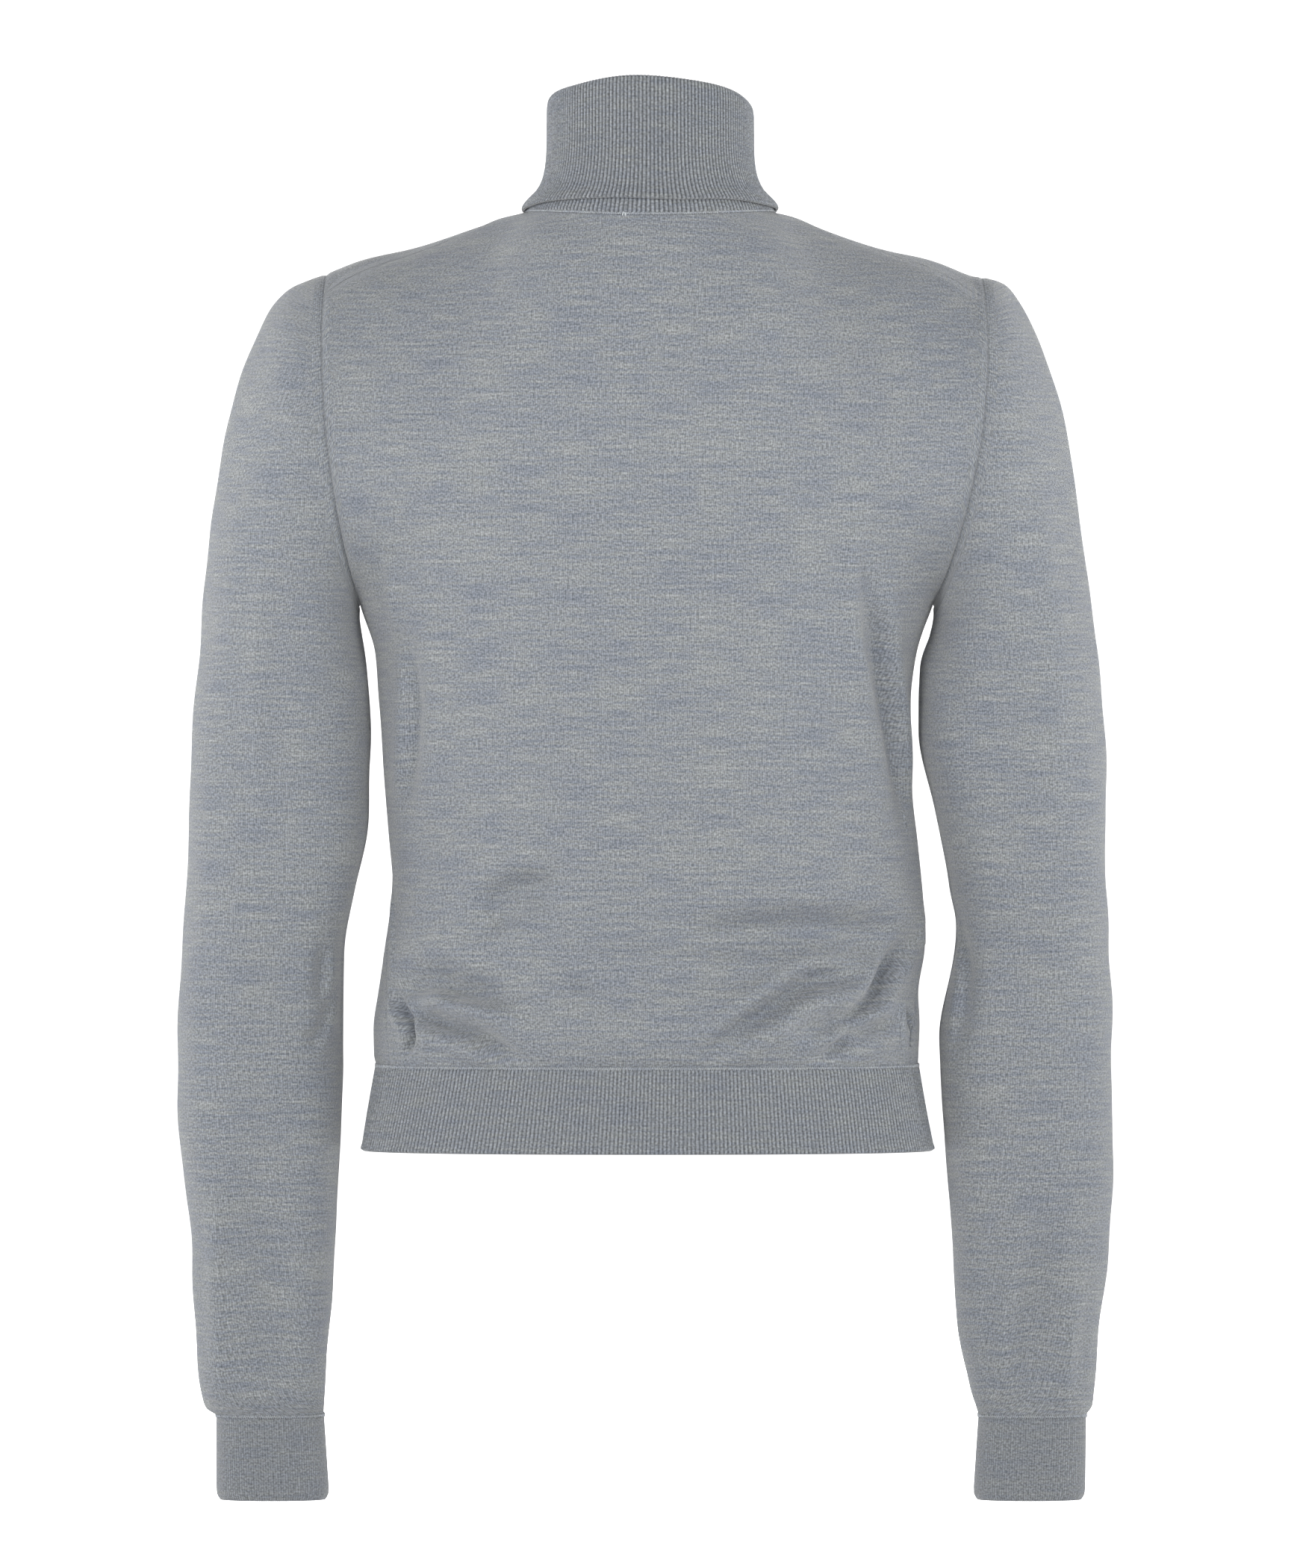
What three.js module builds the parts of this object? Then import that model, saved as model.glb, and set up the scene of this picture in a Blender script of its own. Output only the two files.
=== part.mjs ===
// A fine-knit turtleneck sweater, hollow, filled out as it is when worn, with its sleeves hanging.
// Millimetres, +Z up. The front faces -Y and the wearer's left is +X. The origin is the middle of
// the neck, at the height of the neck seam, where the shoulders carry the sweater.
// It is sewn from a front, a back, two sleeves, a folded rib collar, a rib band under the front
// and one under the back, and two rib cuffs. Each is a wall of knitted cloth of its real form.
import * as THREE from "three";

// Cloth
const JERSEY = 1.6; // thickness of the plain knit
const RIB = 1.7; // thickness of the rib knit between its ribs
const RIB_RAISE = 0.6; // how far a rib stands out
const SEAM_GAP = 0.3; // between two sewn pieces

// Rib counts
const COLLAR_RIBS = 140;
const BAND_RIBS = 150; // on the band of one panel
const CUFF_RIBS = 64;

// Heights and places of the main lines
const HEM_SEAM_Z = -466; // where the body is sewn to its bands
const HEM_Z = -512; // the bottom edge
const UNDERARM_Z = -214;
const ARMHOLE_Y = -2; // the side seam and the underarm lie a little before the shoulder line
const CUFF_SEAM_Z = -656;
const CUFF_Z = -704;

// Neck opening at the neck seam: a ring, highest at the sides, which dips behind and drops to the front
const NECK = { x: -2, y: -3, wide: 67.5, back: 61, front: 64, high: 2.5, dip: 4, drop: 28 };
const NECK_TILT = { back: 62, side: 19, front: 64 }; // of the body's surface at the neck, in degrees

// The torso below the underarms: half widths to the wearer's left and right, depths behind and
// before, and how far behind the widest point the side seams lie, in degrees
const TORSO = [
  { z: -466, left: 148.5, right: 149, back: 73, front: 98, leftSeam: 21, rightSeam: 17 },
  { z: -460, left: 149.5, right: 149.5, back: 80, front: 106, leftSeam: 21, rightSeam: 16 },
  { z: -446, left: 150, right: 149.5, back: 85, front: 112, leftSeam: 20, rightSeam: 14 },
  { z: -428, left: 148, right: 149, back: 82, front: 110, leftSeam: 17, rightSeam: 9 },
  { z: -398, left: 144, right: 152.5, back: 75, front: 105, leftSeam: 10, rightSeam: 3 },
  { z: -365, left: 139.5, right: 151, back: 76, front: 107, leftSeam: 3, rightSeam: 0 },
  { z: -316, left: 143.5, right: 146, back: 81, front: 113, leftSeam: 0, rightSeam: 0 },
  { z: -267, left: 147, right: 145, back: 86, front: 120, leftSeam: 0, rightSeam: 0 },
  { z: -240, left: 149, right: 148, back: 88, front: 123, leftSeam: 0, rightSeam: 0 },
  { z: -214, left: 157, right: 157, back: 89, front: 123, leftSeam: 0, rightSeam: 0 },
];
const ROUNDNESS = 2.35; // of the torso's sections: 2 is an ellipse, more is squarer

// The bands under the body, at their top and bottom edges
const BAND = [
  { z: -512, left: 156, right: 157, back: 78, front: 104, leftSeam: 18, rightSeam: 16 },
  { z: -466, left: 148.5, right: 149, back: 73, front: 98, leftSeam: 21, rightSeam: 17 },
];
const TORSO_COLUMNS = ["left", "right", "back", "front", "leftSeam", "rightSeam"];

// The top of the shoulders, seen from behind: height at each distance from the middle
const SHOULDER = [
  { x: 64, z: 6 },
  { x: 80, z: 2.4 },
  { x: 96, z: -4.4 },
  { x: 112, z: -10.9 },
  { x: 132, z: -16.8 },
  { x: 157, z: -21.9 },
  { x: 181, z: -31 },
];
const SEAM_TURN = 30; // how far behind the top of the armhole the shoulder seam ends, in degrees

// The sleeves as rings. Each ring runs through an outer point, towards the shoulder or the outside,
// and an inner one, towards the underarm or the body. depth is its half width from back to front,
// y its middle, and bulge bows the ring's middle away from the straight line between the points.
const LEFT_SLEEVE = [
  { at: 0, outerX: 180, outerZ: -33, innerX: 157, innerZ: -214, depth: 62, y: -2, bulge: 8 },
  { at: 1, outerX: 194, outerZ: -37.5, innerX: 157.3, innerZ: -215.4, depth: 62.5, y: -2, bulge: 7.5 },
  { at: 2, outerX: 205, outerZ: -48, innerX: 157.5, innerZ: -216.8, depth: 62.5, y: -2, bulge: 6.5 },
  { at: 3, outerX: 215, outerZ: -68, innerX: 157.6, innerZ: -218.4, depth: 62, y: -2, bulge: 5.5 },
  { at: 4, outerX: 226, outerZ: -98, innerX: 157.6, innerZ: -220.6, depth: 60.5, y: -2, bulge: 4 },
  { at: 5, outerX: 234, outerZ: -136, innerX: 157.3, innerZ: -224, depth: 58.5, y: -2, bulge: 2.5 },
  { at: 6, outerX: 240, outerZ: -181, innerX: 156.5, innerZ: -230, depth: 56, y: -2, bulge: 1 },
  { at: 7, outerX: 245.4, outerZ: -232, innerX: 153.6, innerZ: -248, depth: 53, y: -2, bulge: 0 },
  { at: 8, outerX: 249.3, outerZ: -283, innerX: 151.3, innerZ: -283, depth: 50.5, y: -3, bulge: 0 },
  { at: 9, outerX: 251.8, outerZ: -325, innerX: 153.9, innerZ: -325, depth: 48.5, y: -5, bulge: 0 },
  { at: 10, outerX: 253.4, outerZ: -365, innerX: 159.5, innerZ: -365, depth: 46, y: -7, bulge: 0 },
  { at: 11, outerX: 255, outerZ: -405, innerX: 166, innerZ: -405, depth: 44, y: -9, bulge: 0 },
  { at: 12, outerX: 257, outerZ: -455, innerX: 166.8, innerZ: -455, depth: 42, y: -13, bulge: 0 },
  { at: 13, outerX: 256.2, outerZ: -505, innerX: 168.4, innerZ: -505, depth: 39.5, y: -18, bulge: 0 },
  { at: 14, outerX: 252.8, outerZ: -560, innerX: 171.8, innerZ: -560, depth: 36, y: -24, bulge: 0 },
  { at: 15, outerX: 248.6, outerZ: -613, innerX: 176.2, innerZ: -613, depth: 31.5, y: -31, bulge: 0 },
  { at: 16, outerX: 244.8, outerZ: -643, innerX: 178.2, innerZ: -643, depth: 28, y: -35, bulge: 0 },
  { at: 17, outerX: 243, outerZ: -651, innerX: 178.4, innerZ: -651, depth: 26, y: -36, bulge: 0 },
  { at: 18, outerX: 237.5, outerZ: -656, innerX: 178.5, innerZ: -656, depth: 21.5, y: -36.5, bulge: 0 },
];
const RIGHT_SLEEVE = [
  { at: 0, outerX: 184, outerZ: -33, innerX: 157, innerZ: -214, depth: 62, y: -2, bulge: 12 },
  { at: 1, outerX: 196, outerZ: -37.5, innerX: 157.3, innerZ: -215.4, depth: 62.5, y: -2, bulge: 11 },
  { at: 2, outerX: 205.5, outerZ: -48, innerX: 157.5, innerZ: -216.8, depth: 62.5, y: -2, bulge: 9 },
  { at: 3, outerX: 215.5, outerZ: -68, innerX: 157.6, innerZ: -218.4, depth: 62, y: -2, bulge: 7 },
  { at: 4, outerX: 225, outerZ: -98, innerX: 157.5, innerZ: -220.6, depth: 60.5, y: -2, bulge: 5 },
  { at: 5, outerX: 233, outerZ: -136, innerX: 157, innerZ: -224, depth: 58.5, y: -2, bulge: 3 },
  { at: 6, outerX: 239.5, outerZ: -181, innerX: 155.5, innerZ: -230, depth: 56, y: -2, bulge: 1 },
  { at: 7, outerX: 245.4, outerZ: -232, innerX: 150, innerZ: -248, depth: 53, y: -2, bulge: 0 },
  { at: 8, outerX: 249.7, outerZ: -283, innerX: 149.2, innerZ: -283, depth: 50.5, y: -3, bulge: 0 },
  { at: 9, outerX: 251.6, outerZ: -325, innerX: 158, innerZ: -325, depth: 48.5, y: -5, bulge: 0 },
  { at: 10, outerX: 253, outerZ: -365, innerX: 166.9, innerZ: -365, depth: 46, y: -7, bulge: 0 },
  { at: 11, outerX: 254.8, outerZ: -396, innerX: 172, innerZ: -396, depth: 44.4, y: -8.5, bulge: 0 },
  { at: 12, outerX: 257.2, outerZ: -452, innerX: 162.2, innerZ: -452, depth: 42, y: -13, bulge: 0 },
  { at: 13, outerX: 257.8, outerZ: -505, innerX: 163.9, innerZ: -505, depth: 39.5, y: -18, bulge: 0 },
  { at: 14, outerX: 255.2, outerZ: -560, innerX: 168.8, innerZ: -560, depth: 36, y: -24, bulge: 0 },
  { at: 15, outerX: 250, outerZ: -613, innerX: 173.2, innerZ: -613, depth: 31.5, y: -31, bulge: 0 },
  { at: 16, outerX: 246, outerZ: -643, innerX: 178.8, innerZ: -643, depth: 28, y: -35, bulge: 0 },
  { at: 17, outerX: 245, outerZ: -651, innerX: 181.6, innerZ: -651, depth: 26, y: -36, bulge: 0 },
  { at: 18, outerX: 242.5, outerZ: -656, innerX: 183.5, innerZ: -656, depth: 21.5, y: -36.5, bulge: 0 },
];

// The cuffs at their bottom and top edges
const CUFF = {
  left: [
    { z: -704, outer: 237.5, inner: 175.5, depth: 21, y: -38 },
    { z: -656, outer: 237.5, inner: 178.5, depth: 21.5, y: -36.5 },
  ],
  right: [
    { z: -704, outer: 242, inner: 180.5, depth: 21, y: -38 },
    { z: -656, outer: 242.5, inner: 183.5, depth: 21.5, y: -36.5 },
  ],
};

// The collar, folded outwards over itself. height is 0 at the neck seam and 1 at the fold, and
// wide is the half width there. The stand is the part below the fold, measured on its outside.
// FOLD is the fold's height above the seam behind, its fall to the front and its shift forward.
const FOLD = { height: 74.6, lean: 28, shift: -11 };
const STAND = [
  { height: 0, wide: 67.5 },
  { height: 0.12, wide: 61 },
  { height: 0.3, wide: 55.2 },
  { height: 0.6, wide: 53.8 },
  { height: 0.93, wide: 53.8 },
];
const TURNOVER = [
  { height: 0.05, wide: 71 },
  { height: 0.12, wide: 66.5 },
  { height: 0.2, wide: 61.9 },
  { height: 0.3, wide: 58.9 },
  { height: 0.42, wide: 57.2 },
  { height: 0.55, wide: 56.5 },
  { height: 0.93, wide: 56.3 },
  { height: 1, wide: 54.6 },
];
const BEND = 0.4; // the height where the turnover starts to flare
const TURNOVER_EDGE = { side: 0.05, middle: 0.12 }; // its height at the sides, and behind and before
const COLLAR_DEPTH = 1.03; // the collar's depth over its width

// Soft folds of the body: troughs run between two places, given as degrees round the panel from
// its middle, to the wearer's left, and heights. depth below 0 is a trough and above 0 a ridge.
const BACK_FOLDS = [
  { turn0: -74, z0: -396, turn1: -38, z1: -444, depth: -6, width: 12 },
  { turn0: -40, z0: -418, turn1: -10, z1: -452, depth: -4, width: 13 },
  { turn0: -56, z0: -440, turn1: -44, z1: -452, depth: -2.5, width: 9 },
  { turn0: 66, z0: -420, turn1: 36, z1: -426, depth: -3.5, width: 11 },
  { turn0: 64, z0: -432, turn1: 30, z1: -454, depth: -5, width: 11 },
  { turn0: 83, z0: -452, turn1: 84, z1: -420, depth: -11, width: 15 },
  { turn0: -84, z0: -455, turn1: -82, z1: -425, depth: -9, width: 14 },
];
const FRONT_FOLDS = [
  { turn0: 58, z0: -452, turn1: 64, z1: -398, depth: 5, width: 14 },
  { turn0: -58, z0: -455, turn1: -64, z1: -412, depth: 4, width: 13 },
  { turn0: 60, z0: -418, turn1: 30, z1: -448, depth: -5, width: 12 },
  { turn0: -64, z0: -402, turn1: -34, z1: -440, depth: -5, width: 12 },
  { turn0: -30, z0: -430, turn1: -6, z1: -452, depth: -3.5, width: 12 },
];
const MM_PER_DEGREE = 2.4; // of girth, on one panel
const SLEEVE_FOLDS = {
  left: [
    { turn0: 172, z0: -405, turn1: 140, z1: -440, depth: -4, width: 11 },
    { turn0: 215, z0: -330, turn1: 285, z1: -362, depth: -5, width: 13 },
    { turn0: 205, z0: -395, turn1: 262, z1: -378, depth: -4, width: 11 },
    { turn0: 60, z0: -622, turn1: 130, z1: -634, depth: -3, width: 9 },
    { turn0: 240, z0: -600, turn1: 310, z1: -622, depth: -3, width: 10 },
  ],
  right: [
    { turn0: 165, z0: -386, turn1: 150, z1: -436, depth: -5, width: 9 },
    { turn0: 215, z0: -318, turn1: 290, z1: -350, depth: -5, width: 13 },
    { turn0: 205, z0: -382, turn1: 265, z1: -372, depth: -5, width: 11 },
    { turn0: 70, z0: -628, turn1: 140, z1: -618, depth: -3, width: 9 },
    { turn0: 235, z0: -612, turn1: 300, z1: -596, depth: -3, width: 10 },
  ],
};
const SLEEVE_MM_PER_DEGREE = 0.75; // of girth, round a sleeve

// How finely the pieces are drawn
const NECK_STEPS = 6; // columns of a half panel that end at the neck
const SHOULDER_STEPS = 5; // and that end at the shoulder seam
const BACK_ROWS = 9; // rows beside the armhole
const FRONT_ROWS = 12;
const LEVELS = [-466, -462, -455, -446, -436, -425, -414, -402, -388, -368, -340, -305, -270, -240];
const PLAIN_STEPS = 24; // round the inside of a cuff, or a band of one panel
const COLLAR_STEPS = 48; // round the inside of the collar

const radians = (degrees) => (degrees * Math.PI) / 180;
const mix = (a, b, t) => a + (b - a) * t;
const clamp = (value, low, high) => Math.min(high, Math.max(low, value));
const vec = (x, y, z) => new THREE.Vector3(x, y, z);
const power = (value, exponent) => Math.sign(value) * Math.abs(value) ** exponent;

// A smooth curve through one column of a table, which never overshoots its rows.
function curve(table, from, to) {
  const rows = [...table].sort((a, b) => a[from] - b[from]);
  const x = rows.map((row) => row[from]);
  const y = rows.map((row) => row[to]);
  const slope = x.slice(1).map((_, i) => (y[i + 1] - y[i]) / (x[i + 1] - x[i]));
  const tangent = x.map((_, i) => {
    if (i === 0) return slope[0];
    if (i === x.length - 1) return slope[i - 1];
    const [a, b] = [slope[i - 1], slope[i]];
    return a * b <= 0 ? 0 : (2 * a * b) / (a + b);
  });
  return (at) => {
    const place = clamp(at, x[0], x[x.length - 1]);
    let i = 0;
    while (i < x.length - 2 && place > x[i + 1]) i += 1;
    const width = x[i + 1] - x[i];
    return hermite(y[i], tangent[i] * width, y[i + 1], tangent[i + 1] * width, (place - x[i]) / width);
  };
}

function hermite(a, tangentA, b, tangentB, t) {
  const [t2, t3] = [t * t, t * t * t];
  const ends = a * (2 * t3 - 3 * t2 + 1) + b * (3 * t2 - 2 * t3);
  return ends + tangentA * (t3 - 2 * t2 + t) + tangentB * (t3 - t2);
}

function hermitePoint(a, tangentA, b, tangentB, t) {
  return vec(
    hermite(a.x, tangentA.x, b.x, tangentB.x, t),
    hermite(a.y, tangentA.y, b.y, tangentB.y, t),
    hermite(a.z, tangentA.z, b.z, tangentB.z, t),
  );
}

// count + 1 points evenly spaced along a curve given as a function of 0 to 1.
function evenly(pointAt, count) {
  const fine = 600;
  const lengths = [0];
  let last = pointAt(0);
  for (let i = 1; i <= fine; i += 1) {
    const next = pointAt(i / fine);
    lengths.push(lengths[i - 1] + next.distanceTo(last));
    last = next;
  }
  const places = [];
  let i = 0;
  for (let n = 0; n <= count; n += 1) {
    const wanted = (lengths[fine] * n) / count;
    while (i < fine - 1 && lengths[i + 1] < wanted) i += 1;
    places.push((i + clamp((wanted - lengths[i]) / (lengths[i + 1] - lengths[i]), 0, 1)) / fine);
  }
  return places;
}

// A wall of cloth as one closed surface: rows of outer points, then rows of inner ones. Rows may
// have different counts, so a ribbed outside can stand over a plain inside.
class Wall {
  constructor() {
    this.points = [];
    this.faces = [];
  }

  row(points) {
    const start = this.points.length;
    this.points.push(...points);
    return points.map((_, i) => start + i);
  }

  // Joins two rows with triangles, all facing the same way. Between rows of one count each
  // four points are split along their shorter diagonal.
  join(a, b, closed) {
    const [stepsA, stepsB] = closed ? [a.length, b.length] : [a.length - 1, b.length - 1];
    const even = stepsA === stepsB;
    let [i, j] = [0, 0];
    while (i < stepsA || j < stepsB) {
      const [nowA, nowB] = [a[i % a.length], b[j % b.length]];
      const [nextA, nextB] = [a[(i + 1) % a.length], b[(j + 1) % b.length]];
      const shorter = this.apart(nextA, nowB) <= this.apart(nowA, nextB);
      const aheadOnA = even && i === j ? shorter : (i + 1) * stepsB <= (j + 1) * stepsA;
      if (j >= stepsB || (i < stepsA && aheadOnA)) {
        this.faces.push([nowA, nextA, nowB]);
        i += 1;
      } else {
        this.faces.push([nowA, nextB, nowB]);
        j += 1;
      }
    }
  }

  apart(one, other) {
    return this.points[one].distanceTo(this.points[other]);
  }

  // A tube: its rows are rings, and the last one meets the first.
  static tube(rings) {
    const wall = new Wall();
    const rows = rings.map((ring) => wall.row(ring));
    rows.forEach((row, i) => wall.join(row, rows[(i + 1) % rows.length], true));
    return wall;
  }

  // A panel: its edge is closed all round between the outside and the inside.
  static panel(outerRows, innerRows) {
    const wall = new Wall();
    const outer = outerRows.map((points) => wall.row(points));
    const inner = innerRows.map((points) => wall.row(points));
    for (let i = 1; i < outer.length; i += 1) wall.join(outer[i - 1], outer[i], false);
    for (let i = 1; i < inner.length; i += 1) wall.join(inner[i], inner[i - 1], false);
    wall.join(inner[0], outer[0], false);
    wall.join(outer.at(-1), inner.at(-1), false);
    wall.join(outer.map((row) => row[0]), inner.map((row) => row[0]), false);
    wall.join(inner.map((row) => row.at(-1)), outer.map((row) => row.at(-1)), false);
    return wall;
  }

  geometry() {
    let volume = 0;
    for (const [a, b, c] of this.faces) {
      volume += this.points[a].dot(this.points[b].clone().cross(this.points[c]));
    }
    const faces = volume < 0 ? this.faces.map(([a, b, c]) => [a, c, b]) : this.faces;
    const made = new THREE.BufferGeometry();
    const flat = this.points.flatMap((p) => [p.x, p.y, p.z]);
    made.setAttribute("position", new THREE.Float32BufferAttribute(flat, 3));
    made.setIndex(faces.flat());
    made.computeVertexNormals();
    return made;
  }
}

// The armhole and the sleeve
const SLEEVES = { left: sleeveCurves(LEFT_SLEEVE, 1), right: sleeveCurves(RIGHT_SLEEVE, -1) };

function sleeveCurves(table, side) {
  const column = (name) => curve(table, "at", name);
  return {
    side,
    outerX: column("outerX"),
    outerZ: column("outerZ"),
    innerX: column("innerX"),
    innerZ: column("innerZ"),
    depth: column("depth"),
    y: column("y"),
    bulge: column("bulge"),
  };
}

// A point of a sleeve's ring. turn is 0 at the outer point, 90 behind and 180 at the inner one.
function ringPoint(sleeve, at, turn) {
  const outer = vec(sleeve.outerX(at), 0, sleeve.outerZ(at));
  const inner = vec(sleeve.innerX(at), 0, sleeve.innerZ(at));
  const middle = outer.clone().add(inner).multiplyScalar(0.5);
  const across = outer.clone().sub(middle);
  const bow = vec(across.z, 0, -across.x).normalize();
  const [cos, sin] = [Math.cos(radians(turn)), Math.sin(radians(turn))];
  const point = middle.addScaledVector(across, cos).addScaledVector(bow, sleeve.bulge(at) * sin * sin);
  point.y = sleeve.y(at) + sleeve.depth(at) * sin;
  point.x *= sleeve.side;
  return point;
}

// The way out of the armhole at each turn, in the armhole's own surface.
function armholeOut(sleeve, turn) {
  const way = ringPoint(sleeve, 0, turn + 1).sub(ringPoint(sleeve, 0, turn - 1)).normalize();
  const middle = ringPoint(sleeve, 0, 0).add(ringPoint(sleeve, 0, 180)).multiplyScalar(0.5);
  const out = ringPoint(sleeve, 0, turn).sub(middle);
  return out.addScaledVector(way, -out.dot(way)).normalize();
}

// The two edges of a wall at the armhole, on the body's side of the seam or the sleeve's.
function armholeEdge(sleeve, turn, towardsBody) {
  const out = armholeOut(sleeve, turn);
  const way = ringPoint(sleeve, 0, turn + 1).sub(ringPoint(sleeve, 0, turn - 1)).normalize();
  const across = way.cross(out).normalize();
  if (across.x * sleeve.side > 0 === towardsBody) across.negate();
  const outer = ringPoint(sleeve, 0, turn).addScaledVector(across, SEAM_GAP / 2);
  return { outer, inner: outer.clone().addScaledVector(out, -JERSEY) };
}

// The neck
// A point of the neck seam. turn is 0 behind, 90 at the wearer's left and 180 before.
function neckSeam(turn) {
  const [sin, cos] = [Math.sin(radians(turn)), Math.cos(radians(turn))];
  const depth = cos > 0 ? NECK.back : NECK.front;
  const fall = cos > 0 ? NECK.dip * cos * cos : NECK.drop * (-cos) ** 1.5;
  return vec(NECK.x + NECK.wide * sin, NECK.y + depth * cos, NECK.high - fall);
}

// The neck seam's height where the panels' straight edges run, from one column to the next.
function neckSeamHeight(turn) {
  const step = 90 / NECK_STEPS;
  const before = Math.floor(turn / step) * step;
  return mix(neckSeam(before).z, neckSeam(before + step).z, (turn - before) / step);
}

function neckOut(turn) {
  return vec(Math.sin(radians(turn)), Math.cos(radians(turn)), 0);
}

// The body panels
const torso = shapeOf(TORSO);
const band = shapeOf(BAND);
const shoulderZ = curve(SHOULDER, "x", "z");
const NECK_SHARE = NECK_STEPS / (NECK_STEPS + SHOULDER_STEPS);

function shapeOf(table) {
  return Object.fromEntries(TORSO_COLUMNS.map((name) => [name, curve(table, "z", name)]));
}

// A level section of the torso or of a band. column is -1 to 1 across one panel, 1 to the left.
// turn is 0 behind, 90 at the side and 180 before.
function section(shape, panel, column, z) {
  const wide = column >= 0 ? shape.left(z) : shape.right(z);
  const seam = column >= 0 ? shape.leftSeam(z) : shape.rightSeam(z);
  const across = Math.abs(column);
  const turn = radians(panel === "back" ? (90 - seam) * across : 180 - (90 + seam) * across);
  const x = Math.sign(column) * wide * power(Math.sin(turn), 2 / ROUNDNESS);
  const deep = Math.cos(turn) >= 0 ? shape.back(z) : -shape.front(z);
  return vec(x, mix(ARMHOLE_Y, deep, Math.abs(Math.cos(turn)) ** (2 / ROUNDNESS)), z);
}

// The way out of the torso at a side seam.
function sideOut(shape, side, z) {
  const before = section(shape, "back", side * 0.98, z);
  const after = section(shape, "front", side * 0.98, z);
  return vec(before.y - after.y, after.x - before.x, 0).multiplyScalar(side).normalize();
}

// How far along the shoulder a column ends, 0 at the neck and 1 at the armhole.
function shoulderShare(column) {
  return clamp((Math.abs(column) - NECK_SHARE) / (1 - NECK_SHARE), 0, 1);
}

// The top row of both panels: the neck seam in the middle and the shoulder seams beside it.
function topRow(panel, column) {
  const side = column >= 0 ? 1 : -1;
  if (Math.abs(column) <= NECK_SHARE) {
    const turn = (90 * column) / NECK_SHARE;
    return neckSeam(panel === "back" ? turn : 180 - turn);
  }
  const share = shoulderShare(column);
  const neck = neckSeam(90 * side);
  const end = ringPoint(side > 0 ? SLEEVES.left : SLEEVES.right, 0, SEAM_TURN);
  const x = mix(neck.x, end.x, share);
  const fall = mix(neck.z - shoulderZ(Math.abs(neck.x)), end.z - shoulderZ(Math.abs(end.x)), share ** 3);
  return vec(x, mix(neck.y, end.y, share ** 1.5), shoulderZ(Math.abs(x)) + fall);
}

// The normal of the body's surface along the top row.
function topNormal(panel, column) {
  const side = column >= 0 ? 1 : -1;
  const inPanel = panel === "back" ? 1 : -1;
  const share = shoulderShare(column);
  if (share > 0) {
    const before = topRow(panel, side * (Math.abs(column) - 0.02));
    const after = topRow(panel, side * Math.min(1, Math.abs(column) + 0.02));
    const slope = ringSlope() * share * share;
    const normal = after.sub(before).cross(vec(0, -1, slope)).normalize();
    return normal.z < 0 ? normal.negate() : normal;
  }
  const turn = (90 * Math.abs(column)) / NECK_SHARE;
  const tilt = radians(mix(NECK_TILT[panel], NECK_TILT.side, Math.sin(radians(turn)) ** 2));
  const out = vec(side * Math.sin(radians(turn)), inPanel * Math.cos(radians(turn)), 0);
  return out.multiplyScalar(Math.sin(tilt)).add(vec(0, 0, Math.cos(tilt)));
}

// How steeply the top of the armhole falls backwards at the shoulder seam.
function ringSlope() {
  const before = ringPoint(SLEEVES.left, 0, SEAM_TURN - 1);
  const after = ringPoint(SLEEVES.left, 0, SEAM_TURN + 1);
  return -(after.z - before.z) / (after.y - before.y);
}

// The way a column runs as it meets the top row, in the body's surface.
function approach(panel, column) {
  const side = column >= 0 ? 1 : -1;
  const inPanel = panel === "back" ? 1 : -1;
  const share = shoulderShare(column);
  const turn = Math.min(90, (90 * Math.abs(column)) / NECK_SHARE);
  const [sin, cos] = [Math.sin(radians(turn)), Math.cos(radians(turn))];
  const inward = mix(1, 0.5, sin * sin) * (1 - share) ** 2;
  const onward = 0.85 * sin * sin;
  const way = vec(-side * sin, -inPanel * cos, 0).multiplyScalar(inward);
  way.add(vec(side * cos, -inPanel * sin, 0).multiplyScalar(onward));
  const normal = topNormal(panel, column);
  way.z = -(normal.x * way.x + normal.y * way.y) / normal.z;
  return way.normalize();
}

// The crest of the shoulder, which the front panel passes over. Below the neck it is a line
// just under the front neck seam.
function crestRow(column) {
  const side = column >= 0 ? 1 : -1;
  const share = shoulderShare(column);
  const start = topRow("front", share > 0 ? side * NECK_SHARE : column);
  start.addScaledVector(approach("front", share > 0 ? side * NECK_SHARE : column), -17);
  if (share === 0) return start;
  const end = ringPoint(side > 0 ? SLEEVES.left : SLEEVES.right, 0, 0);
  const x = mix(start.x, end.x, share);
  const sink = (shoulderZ(Math.abs(start.x)) - start.z) * (1 - share) ** 3;
  return vec(x, mix(-2, start.y, (1 - share) ** 3), shoulderZ(Math.abs(x)) - sink);
}

// A middle row of a panel, from armhole to armhole over a bowed line.
function chestRow(panel, column, turn, middle, squareness) {
  const edge = ringPoint(column >= 0 ? SLEEVES.left : SLEEVES.right, 0, turn);
  const share = 0.5 * (Math.sin(radians(90 * Math.abs(column))) + Math.abs(column));
  const bow = (1 - share ** squareness) ** 0.8;
  return vec(edge.x * share, mix(edge.y, middle.y, bow), mix(edge.z, middle.z, 1 - share * share));
}

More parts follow.
